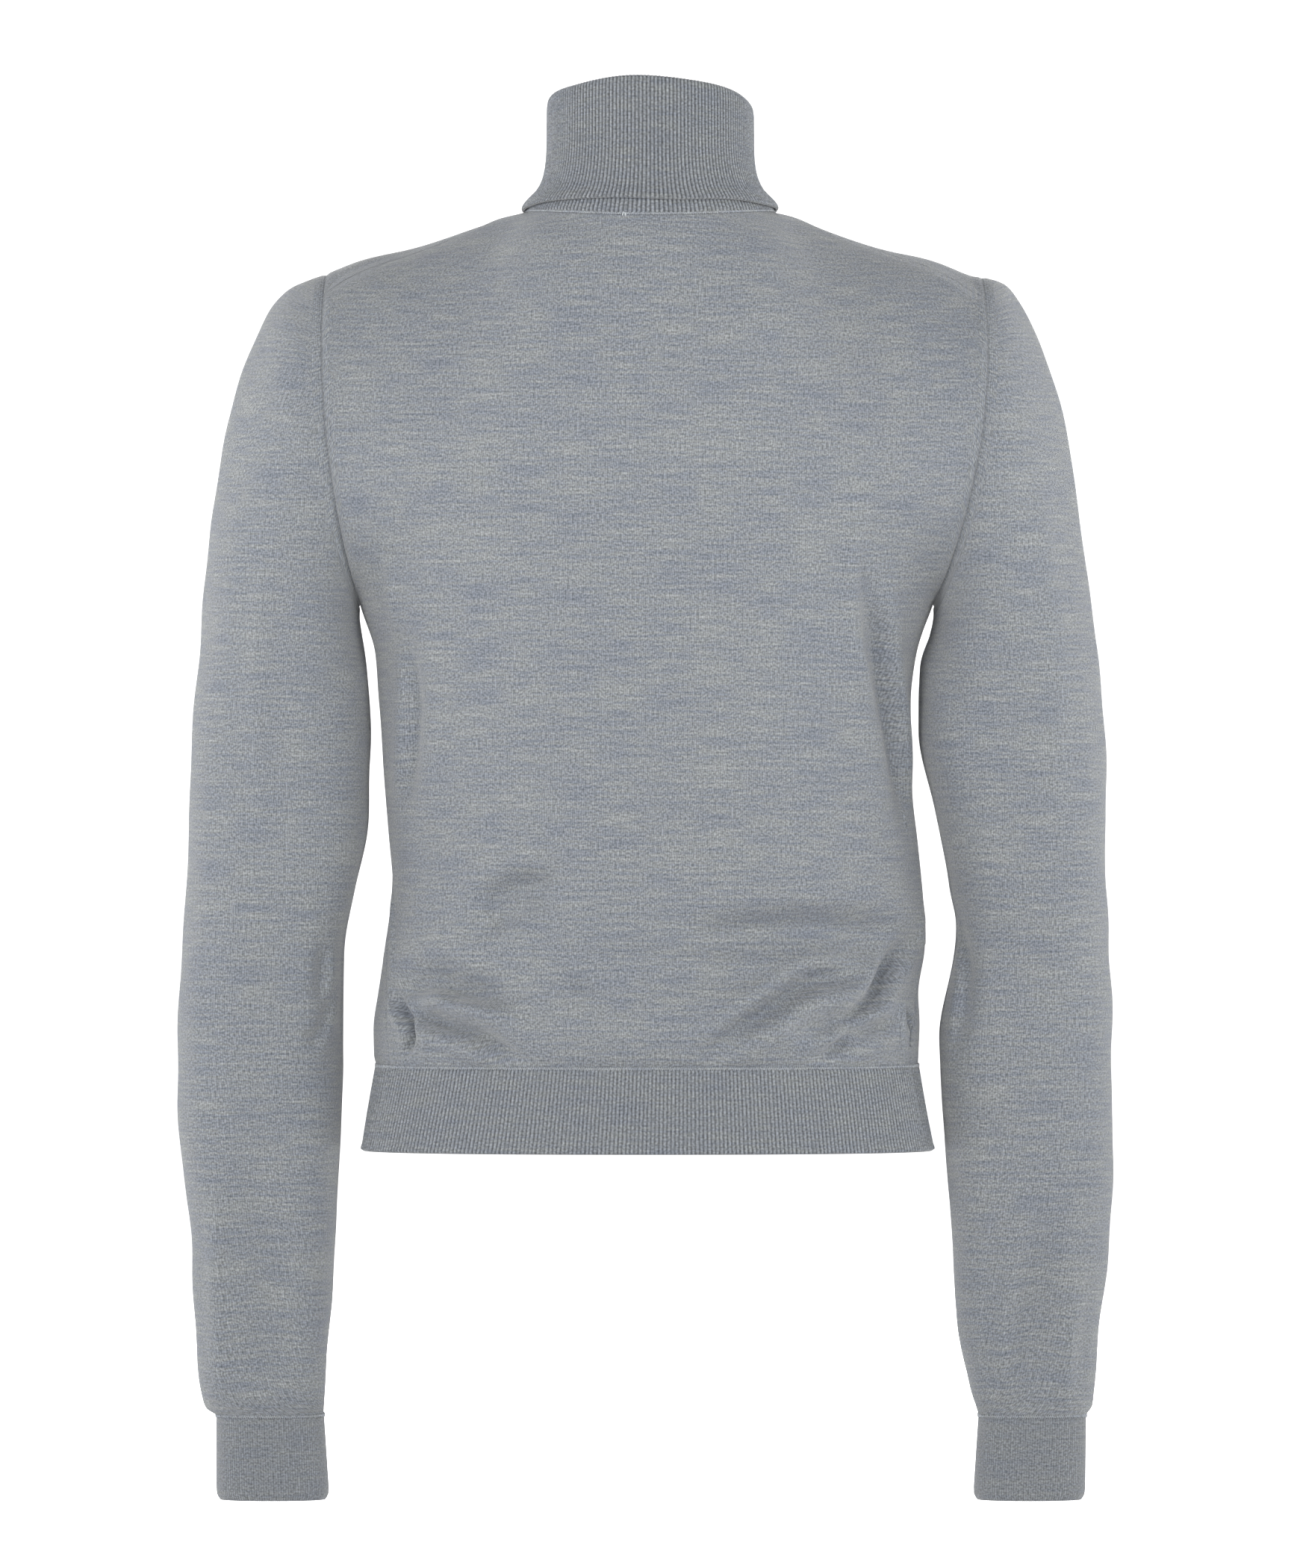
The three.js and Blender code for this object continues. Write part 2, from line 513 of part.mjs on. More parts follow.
function upperPoint(panel, column, rise) {
  const bottom = section(torso, panel, column, UNDERARM_Z);
  const top = topRow(panel, column);
  const share = shoulderShare(column);
  const topWay = approach(panel, column);
  if (panel === "back") {
    const knot = 0.5;
    const chest = chestRow(panel, column, 180 - (180 - SEAM_TURN) * knot, vec(0, 91, -104), 2.3);
    const chestWay = vec((top.x - bottom.x) / 2, -8, 110 + 35 * share);
    if (rise <= knot) {
      return hermitePoint(bottom, vec(0, 0, 90), chest, chestWay.clone().multiplyScalar(0.8), rise / knot);
    }
    return hermitePoint(chest, chestWay, top, topWay.multiplyScalar(118), (rise - knot) / (1 - knot));
  }
  const [knot, crestKnot] = [90 / (180 + SEAM_TURN), 180 / (180 + SEAM_TURN)];
  const chest = chestRow(panel, column, 270, vec(0, -112, -138), 2.5);
  const crest = crestRow(column);
  const chestWay = vec((top.x - bottom.x) / 2, 16, 100 + 60 * share);
  if (rise <= knot) {
    return hermitePoint(bottom, vec(0, 0, 80), chest, chestWay.clone().multiplyScalar(0.7), rise / knot);
  }
  const neckSide = approach("front", Math.sign(column || 1) * Math.min(Math.abs(column), NECK_SHARE));
  const crestWay = neckSide.lerp(vec(0, 1, 0), share * (2 - share)).multiplyScalar(130);
  if (rise <= crestKnot) {
    return hermitePoint(chest, chestWay, crest, crestWay, (rise - knot) / (crestKnot - knot));
  }
  const reach = top.distanceTo(crest);
  crestWay.normalize().multiplyScalar(reach);
  const onTop = (rise - crestKnot) / (1 - crestKnot);
  return hermitePoint(crest, crestWay, top, topWay.multiplyScalar(reach), onTop);
}

// A point of a panel before its folds. rise is 0 at the underarm and 1 at the shoulder; below the
// underarm the height z is given instead.
function panelPoint(panel, column, rise, z) {
  if (rise <= 0) return section(torso, panel, column, z);
  const sleeve = column >= 0 ? SLEEVES.left : SLEEVES.right;
  const turn = panel === "back" ? 180 - (180 - SEAM_TURN) * rise : 180 + (180 + SEAM_TURN) * rise;
  const point = upperPoint(panel, column, rise);
  const edge = upperPoint(panel, Math.sign(column || 1), rise);
  const pull = clamp((Math.abs(column) - 0.45) / 0.55, 0, 1) ** 2;
  return point.addScaledVector(ringPoint(sleeve, 0, turn).sub(edge), pull);
}

// How far a fold moves the cloth at a place on a panel.
function foldDepth(folds, mmPerDegree, turn, z) {
  let depth = 0;
  for (const fold of folds) {
    const start = { x: fold.turn0 * mmPerDegree, z: fold.z0 };
    const way = { x: fold.turn1 * mmPerDegree - start.x, z: fold.z1 - start.z };
    const from = { x: turn * mmPerDegree - start.x, z: z - start.z };
    const along = clamp((from.x * way.x + from.z * way.z) / (way.x ** 2 + way.z ** 2), 0, 1);
    const away = Math.hypot(from.x - along * way.x, from.z - along * way.z);
    depth += fold.depth * Math.exp(-((away / fold.width) ** 2));
  }
  return depth;
}

// Outward normals of a grid of points, by their neighbours.
function normalsOf(rows, closed, outwards) {
  return rows.map((row, r) =>
    row.map((point, c) => {
      const last = row.length - 1;
      const before = c > 0 ? row[c - 1] : closed ? row[last] : point;
      const after = c < last ? row[c + 1] : closed ? row[0] : point;
      const below = rows[Math.max(0, r - 1)][c];
      const above = rows[Math.min(rows.length - 1, r + 1)][c];
      const normal = after.clone().sub(before).cross(above.clone().sub(below)).normalize();
      return normal.dot(outwards(r, c)) < 0 ? normal.negate() : normal;
    }),
  );
}

function insideOf(outer, normals) {
  return outer.map((row, r) => row.map((point, c) => point.clone().addScaledVector(normals[r][c], -JERSEY)));
}

function bodyPanel(panel) {
  const folds = panel === "back" ? BACK_FOLDS : FRONT_FOLDS;
  const steps = panel === "back" ? BACK_ROWS : FRONT_ROWS;
  const half = NECK_STEPS + SHOULDER_STEPS;
  const columns = Array.from({ length: 2 * half + 1 }, (_, i) => (i - half) / half);
  const rises = [...LEVELS.map(() => 0), ...Array.from({ length: steps + 1 }, (_, i) => i / steps)];
  const heights = [...LEVELS, ...Array(steps + 1).fill(UNDERARM_Z)];
  const bare = rises.map((rise, r) => columns.map((column) => panelPoint(panel, column, rise, heights[r])));
  const out = panel === "back" ? vec(0, 1, 0.3) : vec(0, -1, 0.3);
  const outwards = (r, c) => {
    return vec(columns[c] * 0.8, out.y * (1.05 - Math.abs(columns[c])), rises[r] > 0.6 ? 1 : 0.01);
  };
  const bareNormals = normalsOf(bare, false, outwards);
  const outer = bare.map((row, r) =>
    row.map((point, c) => {
      if (rises[r] > 0 || r === 0) return point;
      const edge = 1 - Math.abs(columns[c]) ** 24;
      const low = clamp((point.z - HEM_SEAM_Z) / 9, 0, 1);
      const depth = foldDepth(folds, MM_PER_DEGREE, columns[c] * 90, point.z) * edge * low;
      return point.clone().addScaledVector(bareNormals[r][c], depth);
    }),
  );
  const normals = normalsOf(outer, false, outwards);
  const inner = insideOf(outer, normals);
  panelEdges(panel, { columns, rises, outer, inner, normals });
  return Wall.panel(outer, inner).geometry();
}

// Sets a panel's edge points back from its seams, so that each seam is a narrow even gap.
function panelEdges(panel, { columns, rises, outer, inner, normals }) {
  const inPanel = panel === "back" ? 1 : -1;
  rises.forEach((rise, r) => {
    for (const c of [0, columns.length - 1]) {
      const sleeve = c > 0 ? SLEEVES.left : SLEEVES.right;
      const side = sleeve.side;
      if (rise > 0) {
        const turn = panel === "back" ? 180 - (180 - SEAM_TURN) * rise : 180 + (180 + SEAM_TURN) * rise;
        const edge = armholeEdge(sleeve, turn, true);
        [outer[r][c], inner[r][c]] = [edge.outer, edge.inner];
      } else {
        const out = sideOut(torso, side, outer[r][c].z);
        const across = vec(-out.y, out.x, 0).multiplyScalar(side * inPanel);
        outer[r][c].addScaledVector(across, SEAM_GAP / 2);
        inner[r][c] = outer[r][c].clone().addScaledVector(out, -JERSEY);
      }
      if (rises[r] === 0 && rises[r + 1] > 0) {
        const edge = armholeEdge(sleeve, 180, true);
        outer[r][c] = edge.outer.add(vec(0, (inPanel * SEAM_GAP) / 2, 0));
        inner[r][c] = edge.inner.add(vec(0, (inPanel * SEAM_GAP) / 2, 0));
      }
    }
  });
  const top = rises.length - 1;
  columns.forEach((column, c) => {
    outer[0][c].z = HEM_SEAM_Z + SEAM_GAP / 2;
    const atSide = Math.abs(column) === 1;
    const level = vec(normals[0][c].x, normals[0][c].y, 0).normalize();
    const flat = atSide ? sideOut(torso, column, HEM_SEAM_Z) : level;
    inner[0][c] = outer[0][c].clone().addScaledVector(flat, -JERSEY);
    const seam = topRow(panel, column);
    if (Math.abs(column) < NECK_SHARE + 1e-6) {
      const turn = (90 * column) / NECK_SHARE;
      seam.z -= SEAM_GAP / 2;
      const out = neckOut(panel === "back" ? turn : 180 - turn);
      if (Math.abs(column) > NECK_SHARE - 1e-6) seam.y += (inPanel * SEAM_GAP) / 2;
      outer[top][c] = seam;
      inner[top][c] = seam.clone().addScaledVector(out, -JERSEY);
    } else {
      const edge = shoulderEdge(column, inPanel);
      [outer[top][c], inner[top][c]] = [edge.outer, edge.inner];
    }
  });
}

// The two edges of a panel at the shoulder seam.
function shoulderEdge(column, inPanel) {
  const side = column >= 0 ? 1 : -1;
  const seam = topRow("back", column);
  const before = topRow("back", clamp(column - 0.03 * side, -1, 1));
  const after = topRow("back", clamp(column + 0.03 * side, -1, 1));
  const way = after.sub(before).normalize();
  const share = shoulderShare(column);
  const out = vec(0, mix(0.25, 0.62, share), 1);
  out.addScaledVector(way, -out.dot(way)).normalize();
  const across = way.clone().cross(out).normalize();
  if (across.y < 0) across.negate();
  if (share > 1 - 1e-6) {
    const sleeve = side > 0 ? SLEEVES.left : SLEEVES.right;
    const edge = armholeEdge(sleeve, SEAM_TURN, true);
    const shift = across.multiplyScalar((inPanel * SEAM_GAP) / 2);
    return { outer: edge.outer.add(shift), inner: edge.inner.add(shift) };
  }
  const outer = seam.addScaledVector(across, (inPanel * SEAM_GAP) / 2);
  return { outer, inner: outer.clone().addScaledVector(out, -JERSEY) };
}

// A sleeve, from the armhole to the cuff seam.
function sleevePiece(sleeve, table, folds) {
  const turns = [];
  for (let i = 0; i < BACK_ROWS; i += 1) turns.push(SEAM_TURN + ((180 - SEAM_TURN) * i) / BACK_ROWS);
  for (let i = 0; i < FRONT_ROWS; i += 1) turns.push(180 + ((180 + SEAM_TURN) * i) / FRONT_ROWS);
  const rings = table.map((row) => row.at);
  const bare = rings.map((at) => turns.map((turn) => ringPoint(sleeve, at, turn)));
  const outwards = (r, c) => bare[r][c].clone().sub(centreOf(bare[r]));
  const bareNormals = normalsOf(bare, true, outwards);
  const outer = bare.map((row, r) =>
    row.map((point, c) => {
      const low = clamp((point.z - CUFF_SEAM_Z) / 12, 0, 1);
      const depth = foldDepth(folds, SLEEVE_MM_PER_DEGREE, turns[c] % 360, point.z) * low;
      return point.clone().addScaledVector(bareNormals[r][c], depth);
    }),
  );
  const normals = normalsOf(outer, true, outwards);
  const inner = insideOf(outer, normals);
  const last = rings.length - 1;
  turns.forEach((turn, c) => {
    const edge = armholeEdge(sleeve, turn, false);
    [outer[0][c], inner[0][c]] = [edge.outer, edge.inner];
    outer[last][c].z = CUFF_SEAM_Z + SEAM_GAP / 2;
    const flat = vec(normals[last][c].x, normals[last][c].y, 0).normalize();
    inner[last][c] = outer[last][c].clone().addScaledVector(flat, -JERSEY);
  });
  return Wall.tube([...outer, ...inner.reverse()]).geometry();
}

function centreOf(points) {
  const sum = points.reduce((total, point) => total.add(point), vec(0, 0, 0));
  return sum.multiplyScalar(1 / points.length);
}

// Moves the points of a row outwards, every second one by the height of a rib.
function ribbed(points, outs) {
  return points.map((point, i) => point.clone().addScaledVector(outs[i], i % 2 ? RIB_RAISE : 0));
}

// The rib band under one panel, from side seam to side seam.
function bandPiece(panel) {
  const inPanel = panel === "back" ? 1 : -1;
  const rowAt = (z, count, raised, inset) => {
    const pointAt = (share) => section(band, panel, 2 * share - 1, z);
    const places = evenly(pointAt, count);
    const points = places.map((place) => pointAt(place));
    const outs = places.map((place, i) => {
      if (i === 0) return sideOut(band, -1, z);
      if (i === count) return sideOut(band, 1, z);
      const way = pointAt(Math.min(1, place + 0.004)).sub(pointAt(Math.max(0, place - 0.004)));
      return vec(-way.y, way.x, 0).normalize().multiplyScalar(inPanel);
    });
    for (const end of [0, count]) {
      const side = end === 0 ? -1 : 1;
      const across = vec(-outs[end].y, outs[end].x, 0).multiplyScalar(side * inPanel);
      points[end].addScaledVector(across, SEAM_GAP / 2);
    }
    points.forEach((point, i) => point.addScaledVector(outs[i], -inset));
    return raised ? ribbed(points, outs) : points;
  };
  const [bottom, top] = [HEM_Z, HEM_SEAM_Z - SEAM_GAP / 2];
  const outer = [rowAt(bottom, 2 * BAND_RIBS, true, 0), rowAt(top, 2 * BAND_RIBS, true, 0)];
  const inner = [rowAt(bottom, PLAIN_STEPS, false, RIB), rowAt(top, PLAIN_STEPS, false, RIB)];
  return Wall.panel(outer, inner).geometry();
}

// A rib cuff.
function cuffPiece(table, side) {
  const shape = {};
  for (const name of ["outer", "inner", "depth", "y"]) shape[name] = curve(table, "z", name);
  const at = (z, inset) => (share) => {
    const turn = radians(360 * share);
    const wide = (shape.outer(z) - shape.inner(z)) / 2 - inset;
    const x = (shape.outer(z) + shape.inner(z)) / 2 + wide * Math.cos(turn);
    return vec(side * x, shape.y(z) + (shape.depth(z) - inset) * Math.sin(turn), z);
  };
  const ringAt = (z, count, raised, inset) => {
    const places = evenly(at(z, inset), count).slice(0, count);
    const points = places.map((place) => at(z, inset)(place));
    const outs = places.map((place) => at(z, inset - 1)(place).sub(at(z, inset)(place)).normalize());
    return raised ? ribbed(points, outs) : points;
  };
  const [bottom, top] = [CUFF_Z, CUFF_SEAM_Z - SEAM_GAP / 2];
  return Wall.tube([
    ringAt(bottom, 2 * CUFF_RIBS, true, 0),
    ringAt(top, 2 * CUFF_RIBS, true, 0),
    ringAt(top, PLAIN_STEPS, false, RIB),
    ringAt(bottom, PLAIN_STEPS, false, RIB),
  ]).geometry();
}

// The collar: a rib tube that stands up from the neck seam and folds down outside itself.
function collarPiece() {
  const stand = curve(STAND, "height", "wide");
  const turnover = curve(TURNOVER, "height", "wide");
  const pointAt = (wide, height, turn) => {
    const [sin, cos] = [Math.sin(radians(turn)), Math.cos(radians(turn))];
    const top = vec(NECK.x, NECK.y + FOLD.shift, FOLD.height - (FOLD.lean * (1 - cos)) / 2);
    const seamDepth = (cos > 0 ? NECK.back : NECK.front) / NECK.wide;
    const depth = wide * mix(seamDepth, COLLAR_DEPTH, Math.min(1, height * 3));
    return vec(
      mix(NECK.x, top.x, height) + wide * sin,
      mix(NECK.y, top.y, height) + depth * cos,
      mix(neckSeamHeight(turn), top.z, height) + SEAM_GAP / 2,
    );
  };
  const ring = (count, raised, wideAt, heightAt, inset) => {
    const turns = Array.from({ length: count }, (_, i) => (360 * i) / count);
    const points = turns.map((turn) => {
      const height = heightAt(turn);
      return pointAt(wideAt(height) - inset, height, turn);
    });
    return raised ? ribbed(points, turns.map(neckOut)) : points;
  };
  const level = (height) => () => height;
  const edge = (turn) => mix(TURNOVER_EDGE.side, TURNOVER_EDGE.middle, Math.cos(radians(turn)) ** 2);
  const lifted = (share) => (turn) => mix(edge(turn), BEND, share);
  const ribs = 2 * COLLAR_RIBS;
  const outside = (heightAt) => ring(ribs, true, turnover, heightAt, 0);
  const underTurnover = (heightAt) => ring(COLLAR_STEPS, false, turnover, heightAt, RIB);
  const standOutside = (height) => ring(COLLAR_STEPS, false, stand, level(height), 0);
  const standInside = (height) => ring(COLLAR_STEPS, false, stand, level(height), RIB);
  return Wall.tube([
    ring(ribs, true, stand, level(0), 0),
    ring(ribs, true, stand, level(0.13), 0),
    standOutside(0.17),
    standOutside(0.32),
    standOutside(0.6),
    standOutside(0.9),
    ring(COLLAR_STEPS, false, () => 54.1, level(0.965), 0),
    underTurnover(level(0.9)),
    underTurnover(level(0.55)),
    underTurnover(level(BEND)),
    underTurnover(lifted(0.6)),
    underTurnover(lifted(0.3)),
    underTurnover(edge),
    outside(edge),
    outside(lifted(0.3)),
    outside(lifted(0.6)),
    outside(level(BEND)),
    outside(level(0.93)),
    outside(level(1)),
    ring(COLLAR_STEPS, false, () => 52.8, level(0.985), 0),
    standInside(0.93),
    standInside(0.6),
    standInside(0.32),
    standInside(0.13),
    standInside(0),
  ]).geometry();
}

const JERSEY_GREY = { color: 0x9498a0, roughness: 0.9, metalness: 0 };
const RIB_GREY = { color: 0x868b92, roughness: 0.92, metalness: 0 };

function piece(name, geometry, finish) {
  const mesh = new THREE.Mesh(geometry, new THREE.MeshStandardMaterial(finish));
  mesh.name = name;
  return mesh;
}

const sweater = new THREE.Group();
sweater.name = "turtleneck_sweater";
sweater.add(
  piece("back", bodyPanel("back"), JERSEY_GREY),
  piece("front", bodyPanel("front"), JERSEY_GREY),
  piece("sleeve_left", sleevePiece(SLEEVES.left, LEFT_SLEEVE, SLEEVE_FOLDS.left), JERSEY_GREY),
  piece("sleeve_right", sleevePiece(SLEEVES.right, RIGHT_SLEEVE, SLEEVE_FOLDS.right), JERSEY_GREY),
  piece("collar", collarPiece(), RIB_GREY),
  piece("band_back", bandPiece("back"), RIB_GREY),
  piece("band_front", bandPiece("front"), RIB_GREY),
  piece("cuff_left", cuffPiece(CUFF.left, 1), RIB_GREY),
  piece("cuff_right", cuffPiece(CUFF.right, -1), RIB_GREY),
);

export default sweater;
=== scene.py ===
"""A fine-knit turtleneck sweater in grey melange wool, filled out as it is when worn, seen from behind.

Sizes are in millimetres, and become metres when a mesh is made. The back faces +Y and the wearer's
left is +X. The origin is the middle of the neck, at the height of the neck seam. Each piece of
cloth is a thin closed shell on the form of its CAD solid, with finer folds, seams and ribs.
"""

import bpy
import numpy as np
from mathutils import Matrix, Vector


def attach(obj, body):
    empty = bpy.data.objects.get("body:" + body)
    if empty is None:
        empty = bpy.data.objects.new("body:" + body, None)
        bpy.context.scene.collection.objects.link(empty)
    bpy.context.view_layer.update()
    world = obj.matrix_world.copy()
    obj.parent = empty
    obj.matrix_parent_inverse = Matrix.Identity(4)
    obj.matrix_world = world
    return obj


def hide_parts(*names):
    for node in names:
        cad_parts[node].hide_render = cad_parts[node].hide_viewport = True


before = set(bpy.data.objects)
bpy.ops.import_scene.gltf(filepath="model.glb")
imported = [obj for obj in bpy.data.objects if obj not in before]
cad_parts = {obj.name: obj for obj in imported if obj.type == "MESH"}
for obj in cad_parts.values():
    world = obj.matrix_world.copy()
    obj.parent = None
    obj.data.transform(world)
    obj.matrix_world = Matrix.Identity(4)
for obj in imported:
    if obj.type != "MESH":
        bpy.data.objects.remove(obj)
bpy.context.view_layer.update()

MM = 0.001

# Cloth
JERSEY = 1.6  # thickness of the plain knit
RIB = 1.7  # thickness of the rib knit between its ribs
RIB_RAISE = 0.75  # how far a rib stands out
CUFF_RAISE = 0.22  # the same on a cuff
WALE = 1.2  # from one column of stitches to the next
COURSE = 0.95  # from one row of stitches to the next
SEAM_GAP = 0.1  # between two pieces sewn together
ARMHOLE_DIP = 0.85  # how far the cloth dips into an armhole seam
SIDE_DIP = 0.5  # into a side seam
SEAM_DIP = 0.08  # and into the others
SEAM_REACH = 1.3  # how far from the seam the dip begins
FASHIONED = 5.6  # width of the stitches that run along an armhole or a shoulder seam
FAR = 1000.0  # stands for a distance where no such seam is near
STREAKS_APART = 1000  # between the pieces of plain knit in the yarn's pattern
RIB_STREAKS = {"band": 2000, "cuff": 3000, "collar": 5000}  # where the ribs lie in that pattern
SHOULDER_STREAKS = 500  # and where the stitches along a shoulder seam begin

# Rib counts
COLLAR_RIBS = 170
BAND_RIBS = 150  # on the band of one panel
CUFF_RIBS = 128  # fine and shallow
POINTS_PER_RIB = 6
POINTS_PER_CUFF_RIB = 4

# Heights and places of the main lines
HEM_SEAM_Z = -466.0
HEM_Z = -512.0
UNDERARM_Z = -214.0
ARMHOLE_Y = -2.0
BODY_MIDDLE = (0, -12)  # x and y of a line up the inside of the body
CUFF_SEAM_Z = -660.0
CUFF_Z = -706.5

# Neck opening at the neck seam, and the tilt of the body's surface there in degrees
NECK = {"x": -2, "y": -3, "wide": 67.5, "back": 61, "front": 64, "high": 2.5, "dip": 4, "drop": 28}
NECK_TILT = {"back": 62, "side": 19, "front": 64}

ROUNDNESS = 2.35  # of the torso's sections: 2 is an ellipse, more is squarer
SLEEVE_ROUNDNESS = 2.7  # of the sleeves below the armhole, and of the cuffs
SEAM_TURN = 30.0  # how far behind the top of the armhole the shoulder seam ends, in degrees
NECK_SHARE = 6 / 11  # of a half panel's columns: these end at the neck, the rest at the shoulder

# Fineness of the meshes
PANEL_COLUMNS = 200
PANEL_LOW_ROWS = 130  # below the underarm
PANEL_HIGH_ROWS = 96
SLEEVE_COLUMNS = 120
SLEEVE_ROWS = 240


def table(names, *rows):
    """A short table, as one array for each named column."""
    return {name: np.array(column, float) for name, column in zip(names.split(), zip(*rows))}


# The torso: half widths to the wearer's left and right, depths behind and before, and how far
# behind the widest point the side seams lie, in degrees
TORSO = table(
    "z left right back front left_seam right_seam",
    (-466, 148.5, 149, 77, 102, 21, 17),
    (-460, 149.5, 149.5, 81, 107, 21, 16),
    (-446, 150, 149.5, 85, 112, 20, 14),
    (-428, 148, 149, 82, 110, 17, 9),
    (-398, 144, 152.5, 75, 105, 10, 3),
    (-365, 139.5, 151, 76, 107, 3, 0),
    (-316, 143.5, 146, 81, 113, 0, 0),
    (-267, 147, 145, 86, 120, 0, 0),
    (-240, 149, 148, 88, 123, 0, 0),
    (-214, 157, 157, 89, 123, 0, 0),
)
BAND = table(
    "z left right back front left_seam right_seam",
    (-512, 156, 157, 78, 104, 18, 16),
    (-466, 148.5, 149, 77, 102, 21, 17),
)
SHOULDER = table("x z", (64, 6), (80, 2.4), (96, -4.4), (112, -10.9), (132, -16.8), (157, -21.9), (181, -31))

# The sleeves as rings through an outer and an inner point. depth is a ring's half width from back
# to front, y its middle, and bulge bows its middle away from the line between the points.
RING_COLUMNS = "at outer_x outer_z inner_x inner_z depth y bulge"
LEFT_SLEEVE = table(
    RING_COLUMNS,
    (0, 176, -31.5, 157, -214, 62, -2, 8),
    (1, 194, -37.5, 157.3, -215.4, 62.5, -2, 7.5),
    (2, 205, -48, 157.5, -216.8, 62.5, -2, 6.5),
    (3, 215, -68, 157.6, -218.4, 62, -2, 5.5),
    (4, 226, -98, 157.6, -220.6, 60.5, -2, 4),
    (5, 234, -136, 157.3, -224, 58.5, -2, 2.5),
    (6, 240, -181, 156.5, -230, 56, -2, 1),
    (7, 245.4, -232, 153.6, -248, 53, -2, 0),
    (8, 249.3, -283, 151.3, -283, 50.5, -3, 0),
    (9, 251.8, -325, 153.9, -325, 48.5, -5, 0),
    (10, 253.4, -365, 159.5, -365, 46, -7, 0),
    (11, 255, -405, 166, -405, 44, -9, 0),
    (12, 257, -455, 166.8, -455, 42, -13, 0),
    (13, 256.2, -505, 168.4, -505, 39.5, -18, 0),
    (14, 252.8, -560, 171.8, -560, 36, -24, 0),
    (15, 248.6, -613, 176.2, -613, 31.5, -31, 0),
    (16, 244.8, -646, 178.2, -646, 27, -35, 0),
    (17, 243, -654.5, 178.4, -654.5, 24, -36, 0),
    (18, 237.5, -660, 178.5, -660, 21.5, -36.5, 0),
)
RIGHT_SLEEVE = table(
    RING_COLUMNS,
    (0, 184, -33, 157, -214, 62, -2, 12),
    (1, 196, -37.5, 157.3, -215.4, 62.5, -2, 11),
    (2, 205.5, -48, 157.5, -216.8, 62.5, -2, 9),
    (3, 215.5, -68, 157.6, -218.4, 62, -2, 7),
    (4, 225, -98, 157.5, -220.6, 60.5, -2, 5),
    (5, 233, -136, 157, -224, 58.5, -2, 3),
    (6, 239.5, -181, 155.5, -230, 56, -2, 1),
    (7, 245.4, -232, 150, -248, 53, -2, 0),
    (8, 249.7, -283, 149.2, -283, 50.5, -3, 0),
    (9, 251.6, -325, 158, -325, 48.5, -5, 0),
    (10, 253, -365, 166.9, -365, 46, -7, 0),
    (11, 254.8, -396, 172, -396, 44.4, -8.5, 0),
    (12, 257.2, -452, 162.2, -452, 42, -13, 0),
    (13, 257.8, -505, 163.9, -505, 39.5, -18, 0),
    (14, 255.2, -560, 168.8, -560, 36, -24, 0),
    (15, 250, -613, 173.2, -613, 31.5, -31, 0),
    (16, 246, -646, 178.8, -646, 27, -35, 0),
    (17, 245, -654.5, 181.6, -654.5, 24, -36, 0),
    (18, 242.5, -660, 183.5, -660, 21.5, -36.5, 0),
)
LEVEL_RING = 8  # from here down a sleeve's rings are level
LAST_RING = 18
LEFT_CUFF = table("z outer inner depth y", (-706.5, 237.5, 175.5, 21, -38), (-660, 237.5, 178.5, 21.5, -36.5))
RIGHT_CUFF = table("z outer inner depth y", (-706.5, 242, 180.5, 21, -38), (-660, 242.5, 183.5, 21.5, -36.5))

# The collar, folded outwards over itself. height is 0 at the neck seam and 1 at the fold.
FOLD = {"height": 74.6, "lean": 28, "shift": -11}
STAND = table(
    "height wide",
    *((0, 67.5), (0.03, 67.2), (0.06, 66), (0.1, 64.4), (0.14, 62.3)),
    *((0.2, 58.7), (0.3, 55.2), (0.6, 53.8), (0.93, 53.8)),
)
TURNOVER = table(
    "height wide",
    *((0.03, 70.2), (0.06, 69.4), (0.12, 66.5), (0.2, 61.9), (0.3, 58.9)),
    *((0.42, 57.2), (0.55, 56.5), (0.93, 56.3), (1, 54.6)),
)
BEND = 0.4  # the height where the turnover starts to flare
TURNOVER_EDGE = {"side": 0.03, "middle": 0.115}  # its height at the sides, and behind and before
COLLAR_DEPTH = 1.03  # the collar's depth over its width
ROLL = {"wide": 54.2, "height": 0.955, "out": 2.1, "up": 0.038}  # the bend at the top of the fold
SHOWN_ROW = -17  # the last of the collar's rows on the outside of its turnover


# Folds
def fold_at(depth, wide, *line):
    """A fold along a line of places (x, z) as they are seen from behind. depth below 0 is a trough
    and above 0 a ridge. wide is its reach to the left and right of the line, seen along the line."""
    return {"depth": depth, "wide": wide, "line": line}


